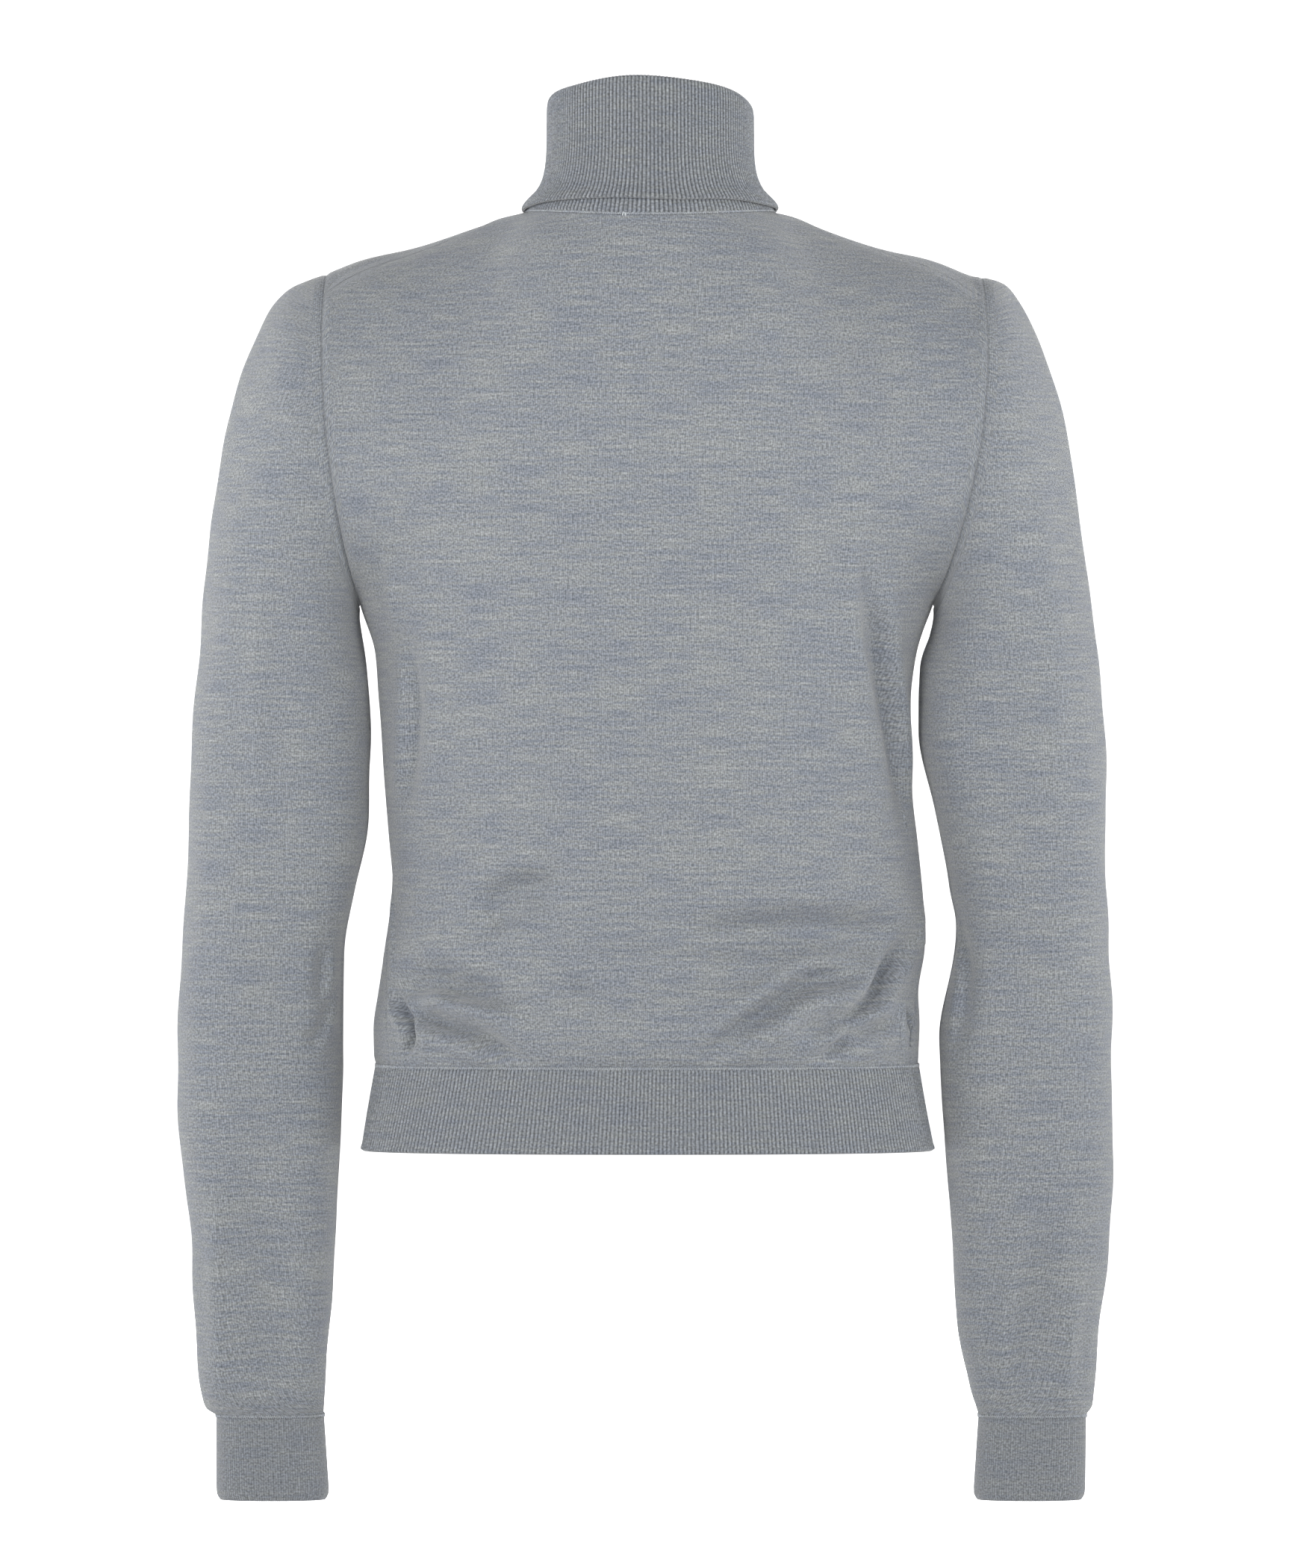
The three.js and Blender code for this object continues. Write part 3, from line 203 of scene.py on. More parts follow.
BACK_CREASES = (
    # the lower right
    fold_at(-9.5, (4.5, 7), (-148, -397), (-141, -406), (-133, -416), (-123, -428), (-112, -437),
            (-98, -443), (-84, -446)),
    fold_at(3, (5, 5), (-139, -397), (-128, -411), (-117, -423), (-104, -432)),
    fold_at(-10.5, (6.5, 5.5), (-114, -415), (-92, -417), (-79, -424), (-67, -433), (-55, -440),
            (-44, -448), (-37, -457)),
    fold_at(-8, (5.5, 4.5), (-135, -441), (-123, -444), (-112, -448), (-105, -454), (-95, -460)),
    fold_at(-9, (3.5, 3), (-142, -438), (-145, -446), (-147, -456)),
    fold_at(1.6, (3, 3), (-140, -430), (-139, -444), (-141, -458)),
    fold_at(-12.5, (20, 11), (-146, -397), (-126, -394), (-106, -392), (-85, -392), (-64, -393),
            (-44, -396), (-20, -401)),
    fold_at(4, (8, 10), (-118, -406), (-80, -405), (-40, -407), (10, -408), (60, -404)),
    # the lower left
    fold_at(-11, (10, 5.5), (137, -423), (125, -420), (113, -419), (101, -423), (89, -426), (76, -427)),
    fold_at(-10.5, (7, 5), (133, -429), (124, -437), (109, -443), (95, -448), (84, -454), (71, -462)),
    fold_at(2, (6, 5), (122, -429), (104, -433), (84, -438), (64, -440)),
    fold_at(-10, (5, 2.8), (140, -427), (132, -440), (129, -448), (131, -458)),
    fold_at(3.2, (2.6, 4), (136, -427), (129, -438), (125.5, -447), (126.5, -455), (130, -462)),
    fold_at(1.3, (2.5, 2.5), (139.5, -366), (139, -396), (139.5, -420)),
    fold_at(-9, (12, 8), (50, -370), (62, -367), (72, -370), (82, -376), (90, -382)),
    fold_at(-3.5, (4.5, 4), (67, -382), (78, -386), (87, -392)),
    fold_at(-2.4, (4.5, 4), (40, -415), (31, -422)),
    # from the armpits down
    fold_at(-10, (6, 12), (-122, -208), (-128, -232), (-132, -255), (-136, -277), (-139, -300),
            (-141, -322)),
    fold_at(3.2, (4, 6), (-115, -165), (-113, -200), (-116, -235), (-122, -262)),
    fold_at(1.4, (3, 4), (139, -172), (140, -196), (138, -224)),
    fold_at(-5.5, (7, 6), (129, -240), (127, -268), (128, -298), (132, -322)),
    fold_at(-1.2, (3, 3), (147, -184), (135, -189)),
    fold_at(-1, (3, 3), (148, -194), (137, -199)),
)
FRONT_CREASES = (
    fold_at(5, (13, 13), (132, -452), (139, -425), (141, -398)),
    fold_at(4, (12, 12), (-132, -455), (-140, -412)),
    fold_at(-6.5, (6, 7), (138, -408), (124, -424), (106, -436), (84, -444)),
    fold_at(-7, (6, 7), (-143, -398), (-130, -413), (-112, -427), (-92, -437)),
    fold_at(-4, (5, 5), (-118, -446), (-98, -452), (-78, -461)),
    fold_at(-4.5, (8, 7), (-84, -424), (-62, -434), (-40, -446), (-28, -455)),
    fold_at(-3.5, (5, 6), (96, -456), (72, -448), (50, -452)),
    fold_at(-3, (10, 8), (120, -398), (70, -402), (20, -404)),
    fold_at(2, (8, 9), (60, -414), (0, -416), (-70, -411)),
    fold_at(-3, (6, 8), (120, -206), (125, -262), (134, -318)),
    fold_at(-2.6, (6, 7), (-122, -212), (-126, -256), (-131, -300)),
    fold_at(-2.2, (9, 10), (146, -190), (112, -168)),
    fold_at(-2.2, (9, 10), (-146, -186), (-116, -160)),
)
LEFT_SLEEVE_CREASES = {
    "back": (
        fold_at(-4, (4, 6), (176, -402), (175, -416), (178, -430)),
        fold_at(-3.2, (4, 6), (171, -428), (176, -444), (184, -456)),
        fold_at(-1.8, (8, 9), (156, -236), (178, -262)),
        fold_at(-4.2, (13, 13), (215, -520), (213, -580), (211, -650)),
        fold_at(2.4, (4, 6), (236, -540), (236, -590), (232, -640)),
        fold_at(1.1, (5, 5), (207, -190), (212, -260), (210, -340)),
    ),
    "front": (
        fold_at(-4.5, (8, 10), (158, -330), (184, -342), (214, -362)),
        fold_at(-4, (8, 8), (166, -396), (188, -386), (212, -376)),
        fold_at(-2.6, (7, 7), (174, -428), (196, -418)),
        fold_at(-3, (7, 8), (182, -596), (206, -612), (232, -622)),
        fold_at(-2, (5, 5), (188, -634), (214, -640)),
    ),
}
RIGHT_SLEEVE_CREASES = {
    "back": (
        fold_at(-4, (8, 4), (-173, -394), (-174, -415), (-173, -435), (-170, -453)),
        fold_at(-1.8, (8, 9), (-156, -236), (-174, -258)),
        fold_at(3.6, (6, 4.5), (-207, -545), (-199, -578), (-197, -615), (-196, -650)),
        fold_at(-4.5, (9, 11), (-214, -560), (-213, -600), (-211, -650)),
        fold_at(2.2, (5, 4), (-236, -590), (-233, -620), (-230, -650)),
        fold_at(1, (6, 6), (-214, -150), (-222, -230), (-224, -320)),
    ),
    "front": (
        fold_at(-4.5, (8, 10), (-160, -320), (-188, -334), (-216, -350)),
        fold_at(-4.5, (8, 8), (-172, -384), (-194, -376), (-214, -370)),
        fold_at(-2.6, (7, 7), (-166, -446), (-184, -430)),
        fold_at(-3, (7, 8), (-186, -616), (-210, -606), (-234, -596)),
    ),
}


def vec(x, y, z):
    return np.stack(np.broadcast_arrays(x, y, z), axis=-1).astype(float)


def unit(vectors):
    return vectors / np.maximum(np.linalg.norm(vectors, axis=-1, keepdims=True), 1e-12)


def dot(a, b):
    return np.sum(a * b, axis=-1, keepdims=True)


def mix(a, b, t):
    return a + (b - a) * t


def sin(degrees):
    return np.sin(np.radians(degrees))


def cos(degrees):
    return np.cos(np.radians(degrees))


def hermite(a, tangent_a, b, tangent_b, t):
    ends = a * (2 * t**3 - 3 * t**2 + 1) + b * (3 * t**2 - 2 * t**3)
    return ends + tangent_a * (t**3 - 2 * t**2 + t) + tangent_b * (t**3 - t**2)


def curve(rows, source, target):
    """A smooth curve through one column of a table, which never overshoots its rows."""
    order = np.argsort(rows[source])
    x, y = rows[source][order], rows[target][order]
    slope = np.diff(y) / np.diff(x)
    a, b = slope[:-1], slope[1:]
    same = a * b > 0
    middle = np.where(same, 2 * a * b / np.where(same, a + b, 1), 0)
    tangent = np.concatenate([slope[:1], middle, slope[-1:]])

    def at(value):
        place = np.clip(value, x[0], x[-1])
        i = np.clip(np.searchsorted(x, place, side="right") - 1, 0, len(x) - 2)
        width = x[i + 1] - x[i]
        return hermite(y[i], tangent[i] * width, y[i + 1], tangent[i + 1] * width, (place - x[i]) / width)

    return at


def curves(rows, source):
    return {name: curve(rows, source, name) for name in rows if name != source}


def crowded(count, power):
    """count + 1 values from -1 to 1 that lie closer together towards both ends."""
    even = np.linspace(-1, 1, count + 1)
    return np.sign(even) * (1 - (1 - np.abs(even)) ** power)


def smooth(value, low, high):
    t = np.clip((value - low) / (high - low), 0, 1)
    return t * t * (3 - 2 * t)


def squared(share, roundness):
    """A sine or cosine made into a part of a rounder or squarer section."""
    return np.sign(share) * np.abs(share) ** (2 / roundness)


def lengths(points, axis):
    """The distance run along a grid of points at each of them."""
    steps = np.linalg.norm(np.diff(points, axis=axis), axis=-1)
    start = np.zeros_like(np.take(steps, [0], axis=axis))
    return np.concatenate([start, np.cumsum(steps, axis=axis)], axis=axis)


def evenly(point_at, low, high, count):
    """count + 1 points of a curve, for values from low to high, that lie evenly along it."""
    fine = np.linspace(low, high, 8 * count)
    run = lengths(point_at(fine), 0)
    return point_at(np.interp(np.linspace(0, run[-1], count + 1), run, fine))


def way_round(points, axis=0):
    """The way along a closed line at each of its points."""
    return np.roll(points, -1, axis=axis) - np.roll(points, 1, axis=axis)


# The armhole and the sleeve
LEFT = {**curves(LEFT_SLEEVE, "at"), "side": 1}
RIGHT = {**curves(RIGHT_SLEEVE, "at"), "side": -1}


def ring_point(sleeve, at, turn):
    """A point of a sleeve's ring. turn is 0 at the outer point, 90 behind and 180 at the inner one."""
    outer = vec(sleeve["outer_x"](at), 0, sleeve["outer_z"](at))
    inner = vec(sleeve["inner_x"](at), 0, sleeve["inner_z"](at))
    middle = (outer + inner) / 2
    across = outer - middle
    bow = unit(vec(across[..., 2], 0, -across[..., 0]))
    turn = np.asarray(turn, float)
    bulge = np.asarray(sleeve["bulge"](at))[..., None]
    roundness = mix(2, SLEEVE_ROUNDNESS, smooth(at, 5, 10))
    point = middle + across * squared(cos(turn), roundness)[..., None]
    point = point + bow * bulge * sin(turn)[..., None] ** 2
    point[..., 1] = sleeve["y"](at) + sleeve["depth"](at) * squared(sin(turn), roundness)
    point[..., 0] *= sleeve["side"]
    return point


def ring_way(sleeve, turn):
    return unit(ring_point(sleeve, 0, turn + 1) - ring_point(sleeve, 0, turn - 1))


def armhole_out(sleeve, turn):
    """The way out of the armhole at each turn, in the armhole's own surface."""
    way = ring_way(sleeve, turn)
    middle = (ring_point(sleeve, 0, 0) + ring_point(sleeve, 0, 180)) / 2
    out = ring_point(sleeve, 0, turn) - middle
    return unit(out - way * dot(out, way))


def armhole_edge(sleeve, turn, towards_body):
    """The outer edge of a wall at the armhole, on the body's side of the seam or the sleeve's."""
    across = unit(np.cross(ring_way(sleeve, turn), armhole_out(sleeve, turn)))
    outwards = across[..., :1] * sleeve["side"] > 0
    across = np.where(outwards == towards_body, -across, across)
    return ring_point(sleeve, 0, turn) + across * SEAM_GAP / 2


# The neck
def neck_seam(turn):
    """A point of the neck seam. turn is 0 behind, 90 at the wearer's left and 180 before."""
    behind = cos(turn) > 0
    depth = np.where(behind, NECK["back"], NECK["front"])
    fall = np.where(behind, NECK["dip"] * cos(turn) ** 2, NECK["drop"] * np.abs(cos(turn)) ** 1.5)
    return vec(NECK["x"] + NECK["wide"] * sin(turn), NECK["y"] + depth * cos(turn), NECK["high"] - fall)


# The body panels
torso = curves(TORSO, "z")
band = curves(BAND, "z")
BEHIND = {"back": 1, "front": -1}
shoulder_z = curve(SHOULDER, "x", "z")


def section(shape, panel, column, z):
    """A level section of the torso or a band. column is -1 to 1 across one panel, 1 to the left."""
    left = column >= 0
    wide = np.where(left, shape["left"](z), shape["right"](z))
    seam = np.where(left, shape["left_seam"](z), shape["right_seam"](z))
    across = np.abs(column)
    turn = (90 - seam) * across if panel == "back" else 180 - (90 + seam) * across
    deep = np.where(cos(turn) >= 0, shape["back"](z), -shape["front"](z))
    x = np.sign(column) * wide * np.abs(sin(turn)) ** (2 / ROUNDNESS)
    return vec(x, mix(ARMHOLE_Y, deep, np.abs(cos(turn)) ** (2 / ROUNDNESS)), z)


def shoulder_share(column):
    """How far along the shoulder a column ends, 0 at the neck and 1 at the armhole."""
    return np.clip((np.abs(column) - NECK_SHARE) / (1 - NECK_SHARE), 0, 1)


def neck_turn(column):
    """How far round the neck a column ends, up to 90 at the side."""
    return np.minimum(90, 90 * np.abs(column) / NECK_SHARE)


def side_of(column):
    """1 at the wearer's left and -1 at the right."""
    return np.where(column >= 0, 1, -1)


def at_armhole(column, turn):
    """A point of the armhole on each column's own side."""
    return np.where((column >= 0)[..., None], ring_point(LEFT, 0, turn), ring_point(RIGHT, 0, turn))


def top_row(panel, column):
    """The top row of both panels: the neck seam in the middle and the shoulder seams beside it."""
    turn = 90 * column / NECK_SHARE
    at_neck = neck_seam(turn if panel == "back" else 180 - turn)
    share = shoulder_share(column)
    neck = neck_seam(90 * side_of(column))
    end = at_armhole(column, SEAM_TURN)
    x = mix(neck[..., 0], end[..., 0], share)
    neck_fall = neck[..., 2] - shoulder_z(np.abs(neck[..., 0]))
    end_fall = end[..., 2] - shoulder_z(np.abs(end[..., 0]))
    z = shoulder_z(np.abs(x)) + mix(neck_fall, end_fall, share**3)
    at_shoulder = vec(x, mix(neck[..., 1], end[..., 1], share**1.5), z)
    return np.where((share > 0)[..., None], at_shoulder, at_neck)


def top_normal(panel, column):
    """The normal of the body's surface along the top row."""
    side = side_of(column)
    share = shoulder_share(column)
    before = top_row(panel, side * (np.abs(column) - 0.02))
    after = top_row(panel, side * np.minimum(1, np.abs(column) + 0.02))
    ring = ring_point(LEFT, 0, np.array([SEAM_TURN - 1, SEAM_TURN + 1]))
    slope = -(ring[1, 2] - ring[0, 2]) / (ring[1, 1] - ring[0, 1])
    at_shoulder = unit(np.cross(after - before, vec(0, -1, slope * share**2)))
    at_shoulder = at_shoulder * np.where(at_shoulder[..., 2:] < 0, -1, 1)
    turn = neck_turn(column)
    tilt = mix(NECK_TILT[panel], NECK_TILT["side"], sin(turn) ** 2)
    at_neck = vec(side * sin(turn) * sin(tilt), BEHIND[panel] * cos(turn) * sin(tilt), cos(tilt))
    return np.where((share > 0)[..., None], at_shoulder, at_neck)


def approach(panel, column):
    """The way a column runs as it meets the top row, in the body's surface."""
    turn = neck_turn(column)
    inward = mix(1, 0.5, sin(turn) ** 2) * (1 - shoulder_share(column)) ** 2
    onward = 0.85 * sin(turn) ** 2
    x = side_of(column) * (onward * cos(turn) - inward * sin(turn))
    y = -BEHIND[panel] * (inward * cos(turn) + onward * sin(turn))
    normal = top_normal(panel, column)
    return unit(vec(x, y, -(normal[..., 0] * x + normal[..., 1] * y) / normal[..., 2]))


def crest_row(column):
    """The crest of the shoulder, and below the neck a line just under the front neck seam."""
    share = shoulder_share(column)
    near = side_of(column) * np.minimum(np.abs(column), NECK_SHARE)
    start = top_row("front", near) - 17 * approach("front", near)
    end = at_armhole(column, 0)
    x = mix(start[..., 0], end[..., 0], share)
    sink = (shoulder_z(np.abs(start[..., 0])) - start[..., 2]) * (1 - share) ** 3
    crest = vec(x, mix(-2, start[..., 1], (1 - share) ** 3), shoulder_z(np.abs(x)) - sink)
    return np.where((share > 0)[..., None], crest, start)


def chest_row(column, turn, middle, squareness):
    """A middle row of a panel, from armhole to armhole over a bowed line."""
    edge = at_armhole(column, turn)
    share = 0.5 * (sin(90 * np.abs(column)) + np.abs(column))
    bow = (1 - share**squareness) ** 0.8
    y = mix(edge[..., 1], middle[1], bow)
    return vec(edge[..., 0] * share, y, mix(edge[..., 2], middle[2], 1 - share**2))


def upper_point(panel, column, rise):
    """Points above the underarm, for arrays of columns and of rises from 0 there to 1 on top. A
    column is a smooth curve through a few rows, and the bare numbers are lengths of its tangents."""
    t = rise[:, None, None]
    bottom = section(torso, panel, column, UNDERARM_Z)
    top = top_row(panel, column)
    share = shoulder_share(column)
    top_way = approach(panel, column)
    lean = (top[:, 0] - bottom[:, 0]) / 2
    if panel == "back":
        knot = 0.5
        chest = chest_row(column, 180 - (180 - SEAM_TURN) * knot, (0, 91, -104), 2.3)
        way = vec(lean, -8, 110 + 35 * share)
        low = hermite(bottom, vec(0, 0, 90), chest, way * 0.8, np.clip(t / knot, 0, 1))
        high = hermite(chest, way, top, top_way * 118, np.clip((t - knot) / (1 - knot), 0, 1))
        return np.where(t <= knot, low, high)
    knot, crest_knot = 90 / (180 + SEAM_TURN), 180 / (180 + SEAM_TURN)
    chest = chest_row(column, 270, (0, -112, -138), 2.5)
    crest = crest_row(column)
    way = vec(lean, 16, 100 + 60 * share)
    low = hermite(bottom, vec(0, 0, 80), chest, way * 0.7, np.clip(t / knot, 0, 1))
    neck_side = approach("front", side_of(column) * np.minimum(np.abs(column), NECK_SHARE))
    over = mix(neck_side, vec(0, 1, 0), (share * (2 - share))[..., None])
    middle = hermite(chest, way, crest, over * 130, np.clip((t - knot) / (crest_knot - knot), 0, 1))
    reach = np.linalg.norm(top - crest, axis=-1, keepdims=True)
    rest = np.clip((t - crest_knot) / (1 - crest_knot), 0, 1)
    high = hermite(crest, unit(over) * reach, top, top_way * reach, rest)
    return np.where(t <= knot, low, np.where(t <= crest_knot, middle, high))


def armhole_turn(panel, rise):
    return 180 - (180 - SEAM_TURN) * rise if panel == "back" else 180 + (180 + SEAM_TURN) * rise


def upper_panel(panel, column, rise):
    """The upper part of a panel, pulled onto the two armholes."""
    points = upper_point(panel, column, rise)
    edges = upper_point(panel, np.array([-1.0, 1.0]), rise)
    turn = armhole_turn(panel, rise)
    rings = np.stack([ring_point(RIGHT, 0, turn), ring_point(LEFT, 0, turn)], axis=1)
    pull = np.clip((np.abs(column) - 0.45) / 0.55, 0, 1) ** 2
    return points + (rings - edges)[:, (column >= 0).astype(int)] * pull[:, None]


# Grids of points, and what is done to them
def normals_of(grid, inside):
    """Outward normals of a grid. inside is a place that they point away from."""
    normals = unit(np.cross(np.gradient(grid, axis=1), np.gradient(grid, axis=0)))
    away = np.mean(dot(normals, grid - np.array(inside, float)))
    return normals * np.sign(away)


def relax(grid, weight, rounds):
    """Evens a grid out where weight is above 0, and leaves its edges."""
    for _ in range(rounds):
        near = (grid[:-2, 1:-1] + grid[2:, 1:-1] + grid[1:-1, :-2] + grid[1:-1, 2:]) / 4
        grid[1:-1, 1:-1] += weight[1:-1, 1:-1, None] * (near - grid[1:-1, 1:-1])


def crease(grid, normals, fold, choice=slice(None)):
    """How far one fold moves each point of a grid along its normal."""
    chosen = grid[:, choice].reshape(-1, 3)
    line = [chosen[np.argmin(np.hypot(chosen[:, 0] - x, chosen[:, 2] - z))] for x, z in fold["line"]]
    nearest = np.full(grid.shape[:2], np.inf)
    along = np.zeros(grid.shape[:2])
    left = np.zeros(grid.shape[:2])
    run = 0.0
    for start, end in zip(line, line[1:]):
        way = end - start
        length = np.linalg.norm(way)
        part = np.clip((grid - start) @ way / length**2, 0, 1)
        off = grid - start - part[..., None] * way
        away = np.linalg.norm(off, axis=-1)
        closer = away < nearest
        nearest = np.where(closer, away, nearest)
        along = np.where(closer, run + part * length, along)
        left = np.where(closer, np.sum(off * np.cross(normals, way), axis=-1), left)
        run += length
    wide = np.where(left > 0, fold["wide"][0], fold["wide"][1])
    strength = 1 - 0.75 * np.abs(2 * along / run - 1) ** 3
    trough = np.exp(-((nearest / wide) ** 2))
    shoulder = 0.22 * np.exp(-(((nearest - 1.9 * wide) / wide) ** 2))
    return fold["depth"] * strength * (trough - shoulder)


def ripple(grid, seed, reach, size, waves=14):
    """Small soft unevenness: a sum of waves of about the given reach, in any direction."""
    random = np.random.default_rng(seed)
    total = np.zeros(grid.shape[:2])
    for _ in range(waves):
        way = unit(random.normal(size=3)) * 2 * np.pi / (reach * random.uniform(0.7, 1.6))
        total += np.sin(grid @ way + random.uniform(0, 2 * np.pi))
    return size * total / waves**0.5


def seam_dip(distance, depth=SEAM_DIP):
    return -depth * np.exp(-((distance / SEAM_REACH) ** 2))


def courses(grid, low, high):
    """How far up the knit each point lies. Rows of stitches lie level up to the height low, and
    from high on they follow the cloth over the shoulder. The grid's first row is its lowest."""
    steps = np.diff(grid, axis=0)
    over = smooth((grid[1:, :, 2] + grid[:-1, :, 2]) / 2, low, high)
    climb = np.cumsum(mix(steps[..., 2], np.linalg.norm(steps, axis=-1), over), axis=0)
    return grid[:1, :, 2] + np.concatenate([np.zeros_like(climb[:1]), climb])


def rib_height(places):
    """The height of the ribs at places counted in ribs, 0 in a valley and 1 on a rib."""
    return (0.5 - 0.5 * np.cos(2 * np.pi * places)) ** 0.8


# Meshes
def cells(grid):
    """The four corners of each cell of a grid of numbers or of places."""
    corners = (grid[:-1, :-1], grid[:-1, 1:], grid[1:, 1:], grid[1:, :-1])
    return np.stack([corner.reshape(-1, *grid.shape[2:]) for corner in corners], axis=1)


class Cloth:
    """A mesh of cloth, made of strips of cells, with a place in the knit at each corner."""

    def __init__(self, name):
        self.name = name
        self.points = []
        self.count = 0
        self.strips = []

    def add(self, grid):
        flat = grid.reshape(-1, 3)
        self.points.append(flat)
        indices = self.count + np.arange(len(flat)).reshape(grid.shape[:2])
        self.count += len(flat)
        return indices

    def strip(self, indices, knit, edge, flipped=False):
        strip = [cells(grid) for grid in (indices, knit, edge)]
        self.strips.append([part[:, ::-1] for part in strip] if flipped else strip)

    def shell(self, outer, inner, knit, edge, bulge=0):
        """A wall of cloth: its outside, its inside, and rims round its edges. bulge is how far the
        rim of the first row stands out."""
        cross = np.cross(outer[1:, 1:] - outer[:-1, :-1], outer[1:, :-1] - outer[:-1, 1:])
        flipped = np.mean(dot(cross, (outer - inner)[1:, 1:])) < 0
        out, into = self.add(outer), self.add(inner)
        self.strip(out, knit, edge, not flipped)
        self.strip(into, knit, edge, flipped)
        for row, beyond, reach in ((0, 1, bulge), (-1, -2, 0)):
            middle = (outer[row] + inner[row]) / 2 + unit(outer[row] - outer[beyond]) * reach
            three = np.stack([out[row], self.add(middle[None])[0], into[row]])
            where = np.stack([knit[row]] * 3), np.stack([edge[row]] * 3)
            self.strip(three, *where, flipped if row == 0 else not flipped)
        for column in (0, -1):
            two = np.stack([out[:, column], into[:, column]])
            where = np.stack([knit[:, column]] * 2), np.stack([edge[:, column]] * 2)
            self.strip(two, *where, not flipped if column == 0 else flipped)

    def tube(self, grid, knit):
        """A surface that closes in both directions, with no armhole or shoulder seam near it."""
        indices = self.add(grid)
        indices = np.concatenate([indices, indices[:, :1]], axis=1)
        indices = np.concatenate([indices, indices[:1]])
        self.strip(indices, knit, far_from_seams(knit))

    def finish(self, material, slot, *nodes):
        """Makes the object, which stands for the CAD nodes named, if any."""
        mesh = bpy.data.meshes.new(self.name)
        faces, knit, edge = (np.concatenate(parts) for parts in zip(*self.strips))
        mesh.from_pydata((np.concatenate(self.points) * MM).tolist(), [], faces.tolist())
        for name, places in (("knit", knit), ("edge", edge)):
            layer = mesh.uv_layers.new(name=name)
            layer.data.foreach_set("uv", places.astype(np.float32).ravel())
        mesh.polygons.foreach_set("use_smooth", [True] * len(faces))
        mesh.materials.append(material)
        mesh.update()
        piece = bpy.data.objects.new(self.name, mesh)
        bpy.context.collection.objects.link(piece)
        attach(piece, "root")
        if nodes:
            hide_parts(*nodes)
        return piece


def far_from_seams(knit):
    return np.full(knit.shape, FAR)


# Materials
class Nodes:
    """The nodes of a material or of the world, with short calls for those used here."""

    def __init__(self, owner):
        owner.use_nodes = True
        self.nodes = owner.node_tree.nodes
        self.links = owner.node_tree.links

    def put(self, value, socket):
        if isinstance(value, bpy.types.NodeSocket):
            self.links.new(value, socket)
        else:
            socket.default_value = value

    def give(self, node, values):
        """Gives a node's inputs, by name, their values or links."""
        for name, value in values.items():
            self.put(value, node.inputs[name])

    def math(self, operation, *values):
        node = self.nodes.new("ShaderNodeMath")
        node.operation = operation
        for value, socket in zip(values, node.inputs):
            self.put(value, socket)
        return node.outputs[0]

    def add(self, a, b):
        return self.math("ADD", a, b)

    def times(self, a, b):
        return self.math("MULTIPLY", a, b)

    def blend(self, a, b, t):
        """The value a where t is 0 and b where it is 1."""
        return self.add(a, self.times(self.math("SUBTRACT", b, a), t))

    def scaled(self, value, factor, plus):
        """value * factor + plus"""
        return self.add(self.times(value, factor), plus)

    def ramp(self, value, low, high, out_low=0.0, out_high=1.0):
        node = self.nodes.new("ShaderNodeMapRange")
        node.interpolation_type = "SMOOTHSTEP"
        for place, socket in zip((value, low, high, out_low, out_high), node.inputs):
            self.put(place, socket)
        return node.outputs[0]

    def parts(self, vector):
        """The x, y and z of a vector."""
        split = self.nodes.new("ShaderNodeSeparateXYZ")
        self.put(vector, split.inputs[0])
        return list(split.outputs)

    def noise(self, u, wide, v, high):
        """Smooth noise from 0 to 1 whose spots are about wide in u and high in v."""
        join = self.nodes.new("ShaderNodeCombineXYZ")
        self.put(self.times(u, 1 / wide), join.inputs[0])
        self.put(self.times(v, 1 / high), join.inputs[1])
        node = self.nodes.new("ShaderNodeTexNoise")
        node.noise_dimensions = "2D"
        self.give(node, {"Vector": join.outputs[0], "Scale": 1.0, "Detail": 0.0})
        return node.outputs["Fac"]

    def colours(self, value, *stops):
        node = self.nodes.new("ShaderNodeValToRGB")
        ramp = node.color_ramp
        while len(ramp.elements) < len(stops):
            ramp.elements.new(0.5)
        for element, (place, colour) in zip(ramp.elements, stops):
            element.position = place
            element.color = (*colour, 1)
        self.put(value, node.inputs["Fac"])
        return node.outputs["Color"]

    def shaded(self, colour, value):
        """A colour made lighter or darker by a value about 1."""
        node = self.nodes.new("ShaderNodeVectorMath")
        node.operation = "SCALE"
        self.put(colour, node.inputs[0])
        self.put(value, node.inputs["Scale"])
        return node.outputs[0]


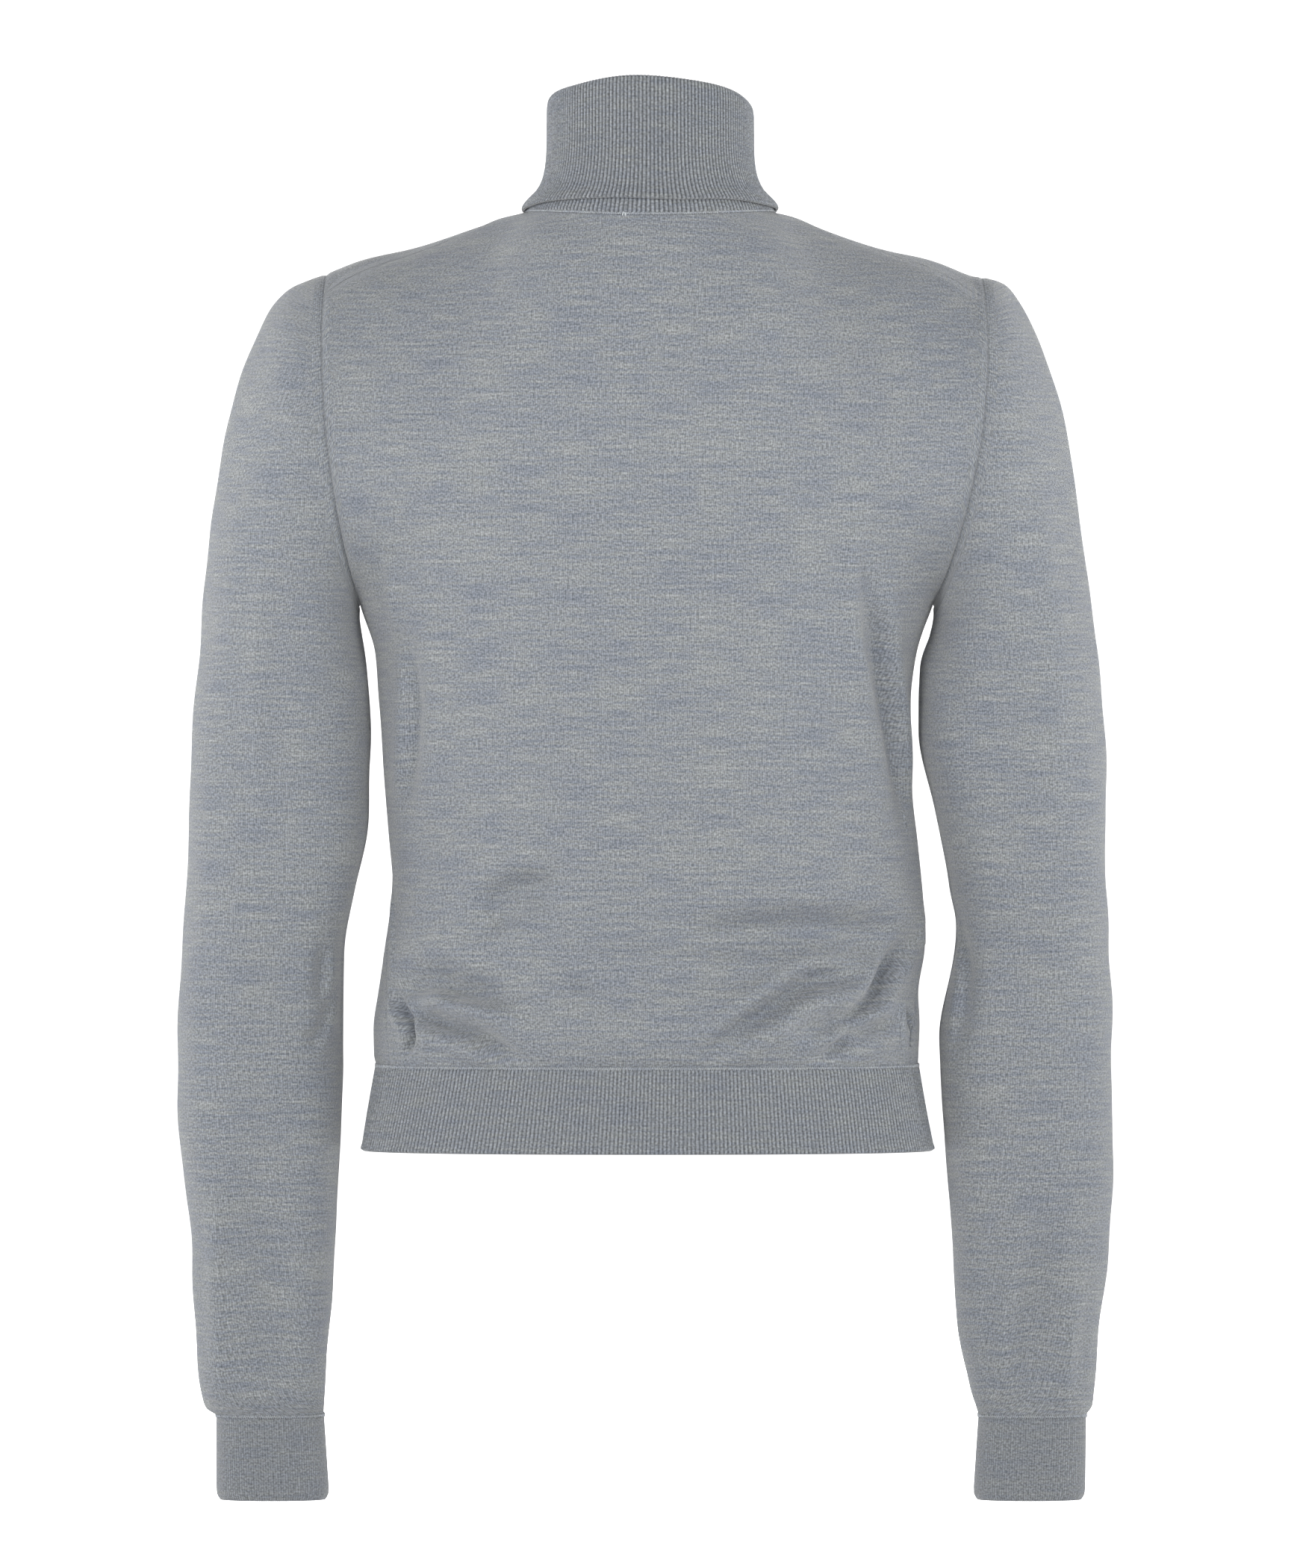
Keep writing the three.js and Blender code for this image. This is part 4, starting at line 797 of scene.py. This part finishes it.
class Finish(Nodes):
    """A material, with what the knits and the yarns have in common."""

    def __init__(self, name):
        self.material = bpy.data.materials.new(name)
        super().__init__(self.material)
        self.shader = self.nodes["Principled BSDF"]

    def places(self, name):
        node = self.nodes.new("ShaderNodeUVMap")
        node.uv_map = name
        return self.parts(node.outputs[0])[:2]

    def melange(self, u, v, contrast):
        """The yarn's colour: long and short streaks along the rows of stitches, and soft patches."""
        long_streaks = self.noise(u, 26, v, 1.7)
        streaks = self.noise(u, 9, v, 1.1)
        patches = self.noise(u, 70, v, 16)
        value = self.add(self.times(long_streaks, 1.3), self.times(streaks, 0.8))
        value = self.add(value, self.times(patches, 0.5))
        return self.colours(self.ramp(value, 1.3 - 1.1 / contrast, 1.3 + 1.1 / contrast), *YARN)

    def specks(self, u, v):
        """Light and dark specks of fibre, about 1."""
        coarse = self.noise(u, 1.35, v, 1.05)
        fine = self.noise(u, 0.5, v, 0.42)
        return self.add(self.scaled(coarse, 0.95, self.times(fine, 0.45)), 0.3)

    def knit(self, across, leg, u, v, look):
        """Knitted stitches. across is 0 at the edge of a column of them and 1 on its crest, and leg
        is the relief of its two legs."""
        slanted = self.scaled(v, 1 / COURSE, self.times(across, look["slant"]))
        yarn = self.math("COSINE", self.times(slanted, 2 * np.pi))
        height = self.scaled(leg, look["leg"], self.times(across, 1 - look["leg"]))
        height = self.times(height, self.scaled(yarn, look["yarn"], 1 - look["yarn"]))
        # painted shade: the colour is darker at a column's edges, where the knit dips between columns, and
        # where a strand dips
        shade = self.times(self.ramp(across, *look["shade"]), self.scaled(yarn, look["strand_painted_shade"], 1.0))
        colour = self.shaded(self.melange(u, v, look["contrast"]), self.times(shade, self.specks(u, v)))
        return self.finish(colour, self.ramp(height, 0.0, 1.0, *look["roughness"]), height, look["depth"])

    def finish(self, colour, roughness, height, depth):
        bump = self.nodes.new("ShaderNodeBump")
        self.give(bump, {"Strength": 1.0, "Distance": depth * MM, "Height": height})
        sheen = {"Sheen Weight": 0.4, "Sheen Roughness": 0.4}
        surface = {"Base Color": colour, "Roughness": roughness, "Specular IOR Level": 0.25}
        self.give(self.shader, {"Normal": bump.outputs[0], **surface, **sheen})
        return self.material


# The melange yarn, in linear colour, from its blue fibres to its warm light ones
YARN = (
    (0.0, (0.152, 0.168, 0.200)),
    (0.3, (0.181, 0.197, 0.223)),
    (0.5, (0.200, 0.213, 0.230)),
    (0.7, (0.217, 0.229, 0.234)),
    (1.0, (0.262, 0.272, 0.276)),
)


# How the two knits look. slant is how far a stitch leans, leg and yarn are the shares of the relief
# that come from a stitch's legs and its strands, and shade is the lightness over a column: painted
# shade, darker at a column's edges where the knit dips. The strands get painted shade as well,
# darker where a strand dips.
JERSEY_LOOK = {
    "slant": 0.85, "leg": 0.62, "yarn": 0.16, "shade": (0.0, 0.62, 0.8, 1.07), "strand_painted_shade": 0.06,
    "contrast": 1.0, "roughness": (0.95, 0.84), "depth": 0.22,
}
RIB_LOOK = {
    "slant": 1.1, "leg": 0.5, "yarn": 0.22, "strand_painted_shade": 0.09,
    "contrast": 0.55, "roughness": (0.96, 0.86), "depth": 0.4,
}


def jersey_finish():
    """Plain knit. Its stitches follow an armhole or a shoulder seam that is near."""
    finish = Finish("jersey")
    u, v = finish.places("knit")
    distance, along = finish.places("edge")
    beside_seam = finish.math("LESS_THAN", distance, FASHIONED)
    u = finish.blend(u, distance, beside_seam)
    v = finish.blend(v, along, beside_seam)
    wander = finish.noise(u, 7, v, 3.5)
    wales = finish.times(finish.add(u, finish.times(wander, 1.1)), 1 / WALE)
    across = finish.times(finish.math("PINGPONG", wales, 0.5), 2.0)
    leg = finish.math("SINE", finish.times(across, np.pi))
    return finish.knit(across, leg, u, v, JERSEY_LOOK)


def rib_finish(name, pitch, valley, crest):
    """Rib knit. In its places x counts ribs and y is in millimetres. pitch is the width of a rib,
    and valley and crest are how light it is between its ribs and on them: painted shade, darker in
    the valleys, and above 1 a slight painted highlight on the crests."""
    finish = Finish(name)
    u, v = finish.places("knit")
    across = finish.times(finish.math("PINGPONG", u, 0.5), 2.0)
    leg = finish.math("SINE", finish.times(finish.ramp(across, 0.25, 1.0), np.pi))
    # painted shade in the valleys between the ribs, and a slight painted highlight on their crests
    look = {**RIB_LOOK, "shade": (0.05, 0.75, valley, crest)}
    return finish.knit(across, leg, finish.times(u, pitch), v, look)


def yarn_finish(name, lightness):
    """A two-ply yarn. In its places x runs along it and y goes round it."""
    finish = Finish(name)
    u, v = finish.places("knit")
    ply = finish.math("COSINE", finish.times(finish.scaled(u, 1 / 0.9, v), 2 * np.pi))
    height = finish.scaled(ply, 0.5, 0.5)
    # painted shade: the yarn is darker in the groove between its two plies
    shade = finish.times(finish.specks(u, v), finish.ramp(height, 0.0, 1.0, 0.8 * lightness, lightness))
    return finish.finish(finish.shaded(finish.melange(u, v, 0.6), shade), 0.9, height, 0.1)


# The pieces
def jersey_wall(node, outer, inner, u, v, distance, along, material):
    """A piece of plain knit. u and v are its places in the knit, and distance and along are how far
    each point lies from an armhole or a shoulder seam and along it."""
    cloth = Cloth("knit_" + node)
    cloth.shell(outer, inner, np.stack([u, v], axis=-1), np.stack([distance, along], axis=-1))
    return cloth.finish(material, "jersey", node)


def body_panel(panel, creases, material, seed):
    column = crowded(PANEL_COLUMNS, 1.35)
    levels = HEM_SEAM_Z + (UNDERARM_Z - HEM_SEAM_Z) * np.linspace(0, 1, PANEL_LOW_ROWS + 1) ** 1.45
    rise = 1 - (1 - np.linspace(0, 1, PANEL_HIGH_ROWS + 1)[1:]) ** 1.25
    low = section(torso, panel, column[None], levels[:, None])
    grid = np.concatenate([low, upper_panel(panel, column, rise)])
    rises = np.concatenate([np.zeros(len(levels)), rise])

    # The edges at the armholes, where the two sides of a seam dip the same way.
    turn = armhole_turn(panel, rise)
    high = slice(len(levels), None)
    outs = {}
    for place, sleeve in ((0, RIGHT), (-1, LEFT)):
        grid[high, place] = armhole_edge(sleeve, turn, True)
        outs[place] = armhole_out(sleeve, turn)
    near_corner = np.clip((rises - 0.45) / 0.2, 0, 1)[:, None]
    from_edge = np.minimum(np.arange(PANEL_COLUMNS + 1), np.arange(PANEL_COLUMNS, -1, -1))
    from_top = np.arange(len(grid) - 1, -1, -1)
    ease = np.clip(from_edge / 8, 0, 1)[None] * np.clip(from_top / 6, 0, 1)[:, None]
    relax(grid, 0.5 * near_corner * ease, 90)

    normals = normals_of(grid, (*BODY_MIDDLE, -250))
    for place, out in outs.items():
        normals[high, place] = out
    run = lengths(grid, 1)
    u = run - run[:, [PANEL_COLUMNS // 2]]
    to_side = np.minimum(run, run[:, -1:] - run)
    climb = lengths(grid, 0)
    v = courses(grid, -70, -15) if panel == "back" else courses(grid, -115, -45)
    to_top = climb[-1] - climb
    to_shoulder = np.where(shoulder_share(column) > 0, to_top, FAR)
    moved = ripple(grid, seed, 46, 0.35) + ripple(grid, seed + 1, 120, 0.5)
    for fold in creases:
        moved += crease(grid, normals, fold)
    moved *= np.clip(climb / 5, 0, 1) * np.clip(to_side / 5, 0.15, 1) * np.clip(to_top / 12, 0, 1)
    at_side = seam_dip(to_side, np.where(rises > 0, ARMHOLE_DIP, SIDE_DIP)[:, None])
    moved += np.minimum(at_side, np.minimum(seam_dip(to_top), seam_dip(climb)))
    outer = grid + normals * moved[..., None]
    inner = outer - normals * JERSEY
    # The wall ends level at the band.
    inner[0] = outer[0] - unit(normals[0] * (1, 1, 0)) * JERSEY

    along = np.where(to_shoulder < to_side, run + SHOULDER_STREAKS, climb)
    distance = np.minimum(to_side, to_shoulder)
    distance[: len(levels)] = FAR
    return jersey_wall(panel, outer, inner, u, v + STREAKS_APART * seed, distance, along, material)


# The middle, the half width and the half depth of the upper arm's level sections
UPPER_ARM = table(
    "z middle wide depth",
    (-283, 200.5, 49, 50.5),
    (-214, 192, 50, 56),
    (-123, 178, 55, 62),
    (-80, 176, 44, 56),
    (-48, 175, 30, 36),
    (-33, 174, 12, 18),
)


def wales_round(sleeve, grid, turn):
    """How far round the arm each point lies, in level sections, from the arm's outer side."""
    z = np.linspace(CUFF_SEAM_Z, UPPER_ARM["z"][0], 60)
    rings = np.linspace(LEVEL_RING, LAST_RING, 200)
    at = np.interp(-z, -sleeve["outer_z"](rings), rings)
    outer, inner = sleeve["outer_x"](at), sleeve["inner_x"](at)
    lower = {"z": z, "middle": (outer + inner) / 2, "wide": (outer - inner) / 2, "depth": sleeve["depth"](at)}
    arm = {key: np.concatenate([lower[key], UPPER_ARM[key][1:]]) for key in lower}
    middle, wide, depth = (np.interp(grid[..., 2], arm["z"], arm[key]) for key in ("middle", "wide", "depth"))
    across = (grid[..., 0] * sleeve["side"] - middle) / wide
    behind = (grid[..., 1] - grid[:, [len(turn) // 2], 1]) / depth
    return np.sign(turn) * np.arctan2(np.abs(behind), across) * (wide + depth) / 2


def sleeve_piece(name, sleeve, creases, material, seed):
    turn = 180 * crowded(SLEEVE_COLUMNS, 1.3)
    fine = np.linspace(0, LAST_RING, 600)
    run = lengths((ring_point(sleeve, fine, 0) + ring_point(sleeve, fine, 180)) / 2, 0)
    share = 0.5 + 0.5 * crowded(SLEEVE_ROWS, 1.3)
    at = np.interp(share * run[-1], run, fine)
    grid = ring_point(sleeve, at[:, None], turn[None])
    grid[0] = armhole_edge(sleeve, turn, False)
    normals = normals_of(grid, grid.mean(axis=(0, 1)))
    normals[0] = armhole_out(sleeve, turn)
    back = turn > 0
    around = lengths(grid, 1)
    u = wales_round(sleeve, grid, turn)
    to_seam = np.minimum(around, around[:, -1:] - around)
    down = lengths(grid, 0)
    v = courses(grid[::-1], -110, -45)[::-1]
    to_cuff = down[-1] - down
    moved = ripple(grid, seed, 42, 0.4) + ripple(grid, seed + 1, 110, 0.9)
    for half, folds in ((back, creases["back"]), (~back, creases["front"])):
        for fold in folds:
            moved += crease(grid, normals, fold, half)
    moved *= np.clip(down / 14, 0, 1) * np.clip(to_seam / 5, 0.15, 1) * np.clip(to_cuff / 6, 0, 1)
    moved += np.minimum(seam_dip(down, ARMHOLE_DIP), np.minimum(seam_dip(to_cuff), seam_dip(to_seam)))
    outer = grid + normals * moved[..., None]
    inner = outer - normals * JERSEY
    return jersey_wall(name, outer, inner, u, v + STREAKS_APART * seed, down, around, material)


def rib_levels(bottom, seam):
    """The heights of a band's rows, which lie closer together at its edge and at its seam."""
    low = (bottom, bottom + 0.6, bottom + 1.4)
    high = (seam - 1.6, seam - 0.7, seam - SEAM_GAP / 2)
    return np.concatenate([low, np.linspace(bottom + 3, seam - 3, 12), high])


def rib_wall(node, grid, inside, count, below_seam, ribs, uneven, v, material):
    """A band or a cuff. count is the number of its ribs and ribs their height. below_seam and v are
    each row's distance from the seam and its place in the knit."""
    places = np.linspace(0, count, grid.shape[1])
    normals = normals_of(grid, inside)
    moved = ribs * rib_height(places)[None] * np.clip(below_seam / 1.2, 0.3, 1)
    moved = moved + seam_dip(below_seam) + uneven
    knit = np.stack(np.broadcast_arrays(places[None], v), axis=-1)
    cloth = Cloth("rib_" + node)
    cloth.shell(grid + normals * moved[..., None], grid - normals * RIB, knit, far_from_seams(knit), 0.7)
    return cloth.finish(material, "rib", node)


def band_piece(panel, material):
    heights = rib_levels(HEM_Z, HEM_SEAM_Z)
    count = BAND_RIBS * POINTS_PER_RIB
    grid = []
    for level in heights:
        grid.append(evenly(lambda column: section(band, panel, column, level), -1.0, 1.0, count))
    grid = np.array(grid)
    z = heights[:, None]
    uneven = ripple(grid, 31 if panel == "back" else 32, 60, 0.4)
    uneven += 0.35 * np.exp(-(((z - HEM_Z - 1) / 1.2) ** 2))
    where = (*BODY_MIDDLE, -490), BAND_RIBS, HEM_SEAM_Z - z
    return rib_wall("band_" + panel, grid, *where, RIB_RAISE, uneven, z + RIB_STREAKS["band"], material)


def cuff_piece(name, rows, side, material):
    shape = curves(rows, "z")
    heights = rib_levels(CUFF_Z, CUFF_SEAM_Z)
    grid = []
    for level in heights:
        drawn_in = 2.2 * np.clip(1 - (level - CUFF_Z) / 5, 0, 1) ** 2
        outer, inner = shape["outer"](level), shape["inner"](level)
        wide = (outer - inner) / 2 - drawn_in
        depth = shape["depth"](level) - drawn_in * 0.6

        def ring(turn):
            across = (outer + inner) / 2 + wide * squared(cos(turn), SLEEVE_ROUNDNESS)
            behind = shape["y"](level) + depth * squared(sin(turn), SLEEVE_ROUNDNESS)
            return vec(side * across, behind, level)

        grid.append(evenly(ring, -180.0, 180.0, CUFF_RIBS * POINTS_PER_CUFF_RIB))
    grid = np.array(grid)
    z = heights[:, None]
    where = grid.mean(axis=(0, 1)), CUFF_RIBS, CUFF_SEAM_Z - z
    return rib_wall(name, grid, *where, CUFF_RAISE, 0, z + RIB_STREAKS["cuff"] + 100 * side, material)


def collar_piece(material):
    stand, turnover = curve(STAND, "height", "wide"), curve(TURNOVER, "height", "wide")
    count = COLLAR_RIBS * POINTS_PER_RIB
    turn = 360 * np.arange(count) / count
    behind = cos(turn) > 0
    seam_depth = np.where(behind, NECK["back"], NECK["front"]) / NECK["wide"]
    seam_z = neck_seam(turn)[:, 2]
    top_z = FOLD["height"] - FOLD["lean"] * (1 - cos(turn)) / 2
    top_y = NECK["y"] + FOLD["shift"]
    edge = mix(TURNOVER_EDGE["side"], TURNOVER_EDGE["middle"], 1 - sin(turn) ** 6)
    edge = edge + 0.006 * sin(3 * turn + 40) + 0.004 * sin(7 * turn)

    def ring(wide, height, deep=None):
        height = np.broadcast_to(height, turn.shape)
        deep = wide if deep is None else deep
        depth = deep * mix(seam_depth, COLLAR_DEPTH, np.minimum(1, height * 3))
        y = mix(NECK["y"], top_y, height) + depth * cos(turn)
        return vec(NECK["x"] + wide * sin(turn), y, mix(seam_z, top_z, height) + SEAM_GAP / 2)

    rows, ribbed = [], []

    def add_stand(wide, height, rib):
        rows.append(ring(wide, height))
        ribbed.append(rib)

    def add_turnover(height, inwards, rib, below=0.0):
        """A row of the turnover, which lies close to the stand behind and before."""
        wide = turnover(height)
        slack = np.maximum(0, wide - stand(height) - RIB - RIB_RAISE - 0.3)
        low = np.clip((BEND - height) / (BEND - edge), 0, 1)
        deep = wide - slack * low * cos(turn) ** 2
        rows.append(ring(wide - inwards, height - below, deep - inwards))
        ribbed.append(rib)

    # Up the outside of the stand, down the inside of the turnover, round its edge and up its outside,
    # over the top, and down the inside of the collar.
    for height in (0, 0.012, 0.03, 0.06, 0.1, 0.14, 0.18, 0.25, 0.4, 0.6, 0.88):
        add_stand(stand(height), height, 1 if height < 0.16 else 0.2)
    add_stand(ROLL["wide"] - 0.1, ROLL["height"], 0)
    for height in (0.9, 0.7, 0.55, BEND):
        add_turnover(height, RIB, 0)
    for share in (0.75, 0.5, 0.28, 0.12, 0.04, 0):
        add_turnover(mix(edge, BEND, share), RIB, 0)
    add_turnover(edge, 0.6 * RIB, 0.1, 0.009)
    for share in (0, 0.02, 0.045, 0.08, 0.14, 0.22, 0.32, 0.44, 0.58, 0.72, 0.86):
        roll = 0.35 * np.exp(-((share / 0.035) ** 2))
        add_turnover(mix(edge, BEND, share), -roll, min(1, 0.25 + share * 12))
    for height in (BEND, 0.48, 0.56, 0.64, 0.72, 0.8, 0.88, 0.925):
        add_turnover(height, 0, 1)
    for angle in (25, 50, 75, 100, 125, 150):
        wide, height = ROLL["wide"] + ROLL["out"] * cos(angle), ROLL["height"] + ROLL["up"] * sin(angle)
        add_stand(wide, height, mix(1, 0.45, sin(angle)))
    for height in (0.93, 0.85, 0.7, 0.55, 0.4, 0.27, 0.16, 0.08, 0.03, 0):
        add_stand(stand(height) - RIB, height, 0.8)

    grid = np.array(rows)
    # The top waves a little, and is higher at the left.
    wavy = sin(2 * turn + 60) * 0.7 + sin(5 * turn + 10) * 0.45
    wavy += 3.5 * np.exp(-(((turn - 78) / 32) ** 2))
    grid[..., 2] += wavy * np.clip((grid[..., 2] - 20) / 40, 0, 1)
    loop = np.concatenate([grid[-1:], grid, grid[:1]])
    normals = unit(np.cross(way_round(grid, 1), loop[2:] - loop[:-2]))
    shown = grid[SHOWN_ROW]
    if np.mean(dot(normals[SHOWN_ROW], shown - shown.mean(axis=0))) < 0:
        normals = -normals
    places = np.arange(count + 1) / POINTS_PER_RIB
    moved = RIB_RAISE * rib_height(places[:-1])[None] * np.array(ribbed)[:, None]
    outer = grid + normals * moved[..., None]
    run = lengths(np.concatenate([grid, grid[:1]]), 0)[:, :1]
    knit = np.stack(np.broadcast_arrays(places[None], RIB_STREAKS["collar"] - run), axis=-1)
    cloth = Cloth("rib_collar")
    cloth.tube(outer, knit)
    return cloth.finish(material, "rib", "collar")


# Linking stitches: one yarn that zigzags over a seam all round, and a tack at the neck
STITCH = {"high": 0.85, "thick": 0.3, "lift": 0.5, "step": 0.6}
TACK = {"x": 11.9, "reach": 1.3, "thick": 0.36, "lift": 0.55}


def along_line(values, run, places):
    """Values at places along a line, where run is how far along it the values given lie."""
    return np.stack([np.interp(places, run, values[:, axis]) for axis in range(3)], axis=-1)


def yarn_tube(cloth, path, normals, thick):
    """A closed tube of four sides round a closed path."""
    way = unit(way_round(path))
    side = unit(np.cross(normals, way))
    up = unit(np.cross(way, side))
    angle = 90 * np.arange(4)[None, :, None]
    grid = path[:, None] + thick * (side[:, None] * cos(angle) + up[:, None] * sin(angle))
    run = np.arange(len(path) + 1) * STITCH["step"]
    cloth.tube(grid, np.stack(np.meshgrid(run, np.arange(5) / 4, indexing="ij"), axis=-1))


def linking(name, line, normals, material):
    """Zigzag stitches over a closed seam line with its outward normals."""
    closed = np.concatenate([line, line[:1]])
    outward = np.concatenate([normals, normals[:1]])
    run = lengths(closed, 0)
    count = 4 * round(run[-1] / WALE)
    places = np.linspace(0, run[-1], count, endpoint=False)
    path, outward = along_line(closed, run, places), unit(along_line(outward, run, places))
    across = unit(np.cross(outward, way_round(path)))
    zigzag = sin(90.0 * np.arange(count))[:, None]
    path = path + across * zigzag * STITCH["high"] + outward * STITCH["lift"]
    cloth = Cloth(name)
    yarn_tube(cloth, path, outward, STITCH["thick"])
    return cloth.finish(material, "rib")


def round_body(value_at):
    """Values along a line round both panels: the back to the wearer's right, then the front."""
    column = np.linspace(1, -1, 400)
    return np.concatenate([value_at("back", column)[:-1], value_at("front", -column)[:-1]])


def level_out(line, middle):
    """Outward normals of a level ring."""
    out = unit(np.cross(way_round(line), (0, 0, 1)))
    return out * np.sign(np.mean(dot(out, line - middle)))


def tack_stitch(material):
    """Three short turns of light yarn that cross the neck seam behind."""
    column = NECK_SHARE * np.degrees(np.arcsin((TACK["x"] - NECK["x"]) / NECK["wide"])) / 90
    place = top_row("back", np.array([column]))[0]
    out = top_normal("back", np.array([column]))[0]
    across = unit(np.cross(out, (1, 0, 0)))
    cloth = Cloth("tack_stitch")
    for slant, shift in ((0.5, -0.7), (-0.6, 0), (0.3, 0.8)):
        turn = np.arange(0, 360, 24)[:, None]
        way = unit(across + slant * np.array((1.0, 0, 0)))
        middle = place + np.array((shift, 0, 0)) + out * TACK["lift"] * 0.3
        path = middle + way * TACK["reach"] * cos(turn) + out * TACK["lift"] * sin(turn)
        yarn_tube(cloth, path, np.repeat(np.cross(way, out)[None], len(path), axis=0), TACK["thick"])
    return cloth.finish(material, "rib")


jersey = jersey_finish()
# One yarn in three rib finishes with painted shade of different strength, darkest in the collar's valleys and
# lightest in the cuffs'. Beyond the ribs' depth, the collar, which gets more lamp light, is painted darker
# and the cuffs lighter to even that out.
collar_rib = rib_finish("collar_rib", 2.1, 0.42, 1.04)
band_rib = rib_finish("band_rib", 2.4, 0.56, 1.12)
cuff_rib = rib_finish("cuff_rib", 1.3, 0.78, 1.02)
linking_yarn = yarn_finish("linking_yarn", 1.8)
light_yarn = yarn_finish("light_yarn", 2.4)

back = body_panel("back", BACK_CREASES, jersey, 3)
front = body_panel("front", FRONT_CREASES, jersey, 5)
sleeve_left = sleeve_piece("sleeve_left", LEFT, LEFT_SLEEVE_CREASES, jersey, 7)
sleeve_right = sleeve_piece("sleeve_right", RIGHT, RIGHT_SLEEVE_CREASES, jersey, 9)
collar = collar_piece(collar_rib)
band_back = band_piece("back", band_rib)
band_front = band_piece("front", band_rib)
cuff_left = cuff_piece("cuff_left", LEFT_CUFF, 1, cuff_rib)
cuff_right = cuff_piece("cuff_right", RIGHT_CUFF, -1, cuff_rib)

neck_line = round_body(lambda panel, column: top_row(panel, column * NECK_SHARE))
neck_out = round_body(lambda panel, column: top_normal(panel, column * NECK_SHARE))
neck_stitches = linking("neck_stitches", neck_line, neck_out, linking_yarn)
tack = tack_stitch(light_yarn)
hem_line = round_body(lambda panel, column: section(band, panel, column, HEM_SEAM_Z))
hem_out = level_out(hem_line, (*BODY_MIDDLE, HEM_SEAM_Z))
hem_stitches = linking("hem_stitches", hem_line, hem_out, linking_yarn)
for name, sleeve in (("left", LEFT), ("right", RIGHT)):
    line = ring_point(sleeve, LAST_RING, np.linspace(0, 360, 200)[:-1])
    out = level_out(line, line.mean(axis=0))
    linking("cuff_stitches_" + name, line, out, linking_yarn)


# The floor: plain and pale. Near the sweater only the lamps and the room light it, and a soft shade
# lies under the sweater. Further out a painted glow makes it white, as it emits light there though it
# is no lamp: none within 0.75 m of the middle and in full beyond 1.5 m.
FLOOR = {"z": -860.0, "reach": 40000.0, "shade": (0.75, 1.5), "glow": 1.0}


def floor():
    reach, z = FLOOR["reach"] * MM, FLOOR["z"] * MM
    corners = [(-reach, -reach, z), (reach, -reach, z), (reach, reach, z), (-reach, reach, z)]
    mesh = bpy.data.meshes.new("floor")
    mesh.from_pydata(corners, [], [(0, 1, 2, 3)])
    finish = Finish("pale_floor")
    x, y, _ = finish.parts(finish.nodes.new("ShaderNodeNewGeometry").outputs["Position"])
    away = finish.math("SQRT", finish.add(finish.times(x, x), finish.times(y, y)))
    # painted light: the floor's glow, which leaves the floor under the sweater to the lamps alone
    glow = finish.ramp(away, *FLOOR["shade"], 0.0, FLOOR["glow"])
    surface = {"Base Color": (0.85, 0.85, 0.85, 1), "Roughness": 0.9, "Specular IOR Level": 0.1}
    light = {"Emission Strength": glow, "Emission Color": (1, 1, 1, 1)}
    finish.give(finish.shader, {**surface, **light})
    mesh.materials.append(finish.material)
    ground = bpy.data.objects.new("floor", mesh)
    bpy.context.collection.objects.link(ground)


floor()


# Light: two large softboxes before the sweater's back and above it with a fill between them, one on
# each side, one before its front, and a white room whose walls are bright
LIT = Vector((0, 0, -0.3))  # what the lights point at


def soft_light(name, place, size, watts):
    light = bpy.data.lights.new(name, "AREA")
    light.shape = "RECTANGLE"
    light.size, light.size_y = size
    light.energy = watts
    lamp = bpy.data.objects.new(name, light)
    lamp.location = place
    lamp.rotation_euler = (LIT - Vector(place)).to_track_quat("-Z", "Y").to_euler()
    lamp.visible_camera = False
    bpy.context.collection.objects.link(lamp)


soft_light("key_left", (4.2, 7.8, 4.2), (3.2, 3.2), 324)
soft_light("key_right", (-4.4, 7.8, 3.6), (3.2, 3.2), 258)
soft_light("side_left", (3.2, -0.2, 0.0), (1.6, 2.6), 48)
soft_light("side_right", (-3.2, -0.2, 0.0), (1.6, 2.6), 48)
soft_light("fill", (0.3, 9.0, 0.2), (3.0, 3.0), 195)
soft_light("front", (0.0, -5.6, 1.6), (2.4, 2.4), 150)


ROOM = {"bright_below": 0.085, "dim_above": 0.2, "bright": 1.3, "dim": 0.25}


def white_room():
    """A white world, bright near the horizon and dimmer above and below."""
    world = bpy.data.worlds.new("white_room")
    bpy.context.scene.world = world
    room = Nodes(world)
    way = room.nodes.new("ShaderNodeTexCoord").outputs["Generated"]
    height = room.math("ABSOLUTE", room.parts(way)[2])
    strength = room.ramp(height, ROOM["bright_below"], ROOM["dim_above"], ROOM["bright"], ROOM["dim"])
    room.give(room.nodes["Background"], {"Strength": strength, "Color": (1, 1, 1, 1)})


white_room()
bpy.context.scene.view_settings.view_transform = "Standard"

# The camera, straight behind the sweater. frame is the height of what it sees.
CAMERA = {"away": 6000.0, "x": -1.0, "z": -311.6, "frame": 861.0}
SENSOR = 36.0
lens = bpy.data.cameras.new("camera")
lens.sensor_width = SENSOR
lens.lens = SENSOR * CAMERA["away"] / CAMERA["frame"]
lens.clip_end = 200
camera = bpy.data.objects.new("camera", lens)
camera.location = (CAMERA["x"] * MM, CAMERA["away"] * MM, CAMERA["z"] * MM)
camera.rotation_euler = (np.pi / 2, 0, np.pi)
bpy.context.collection.objects.link(camera)
bpy.context.scene.camera = camera
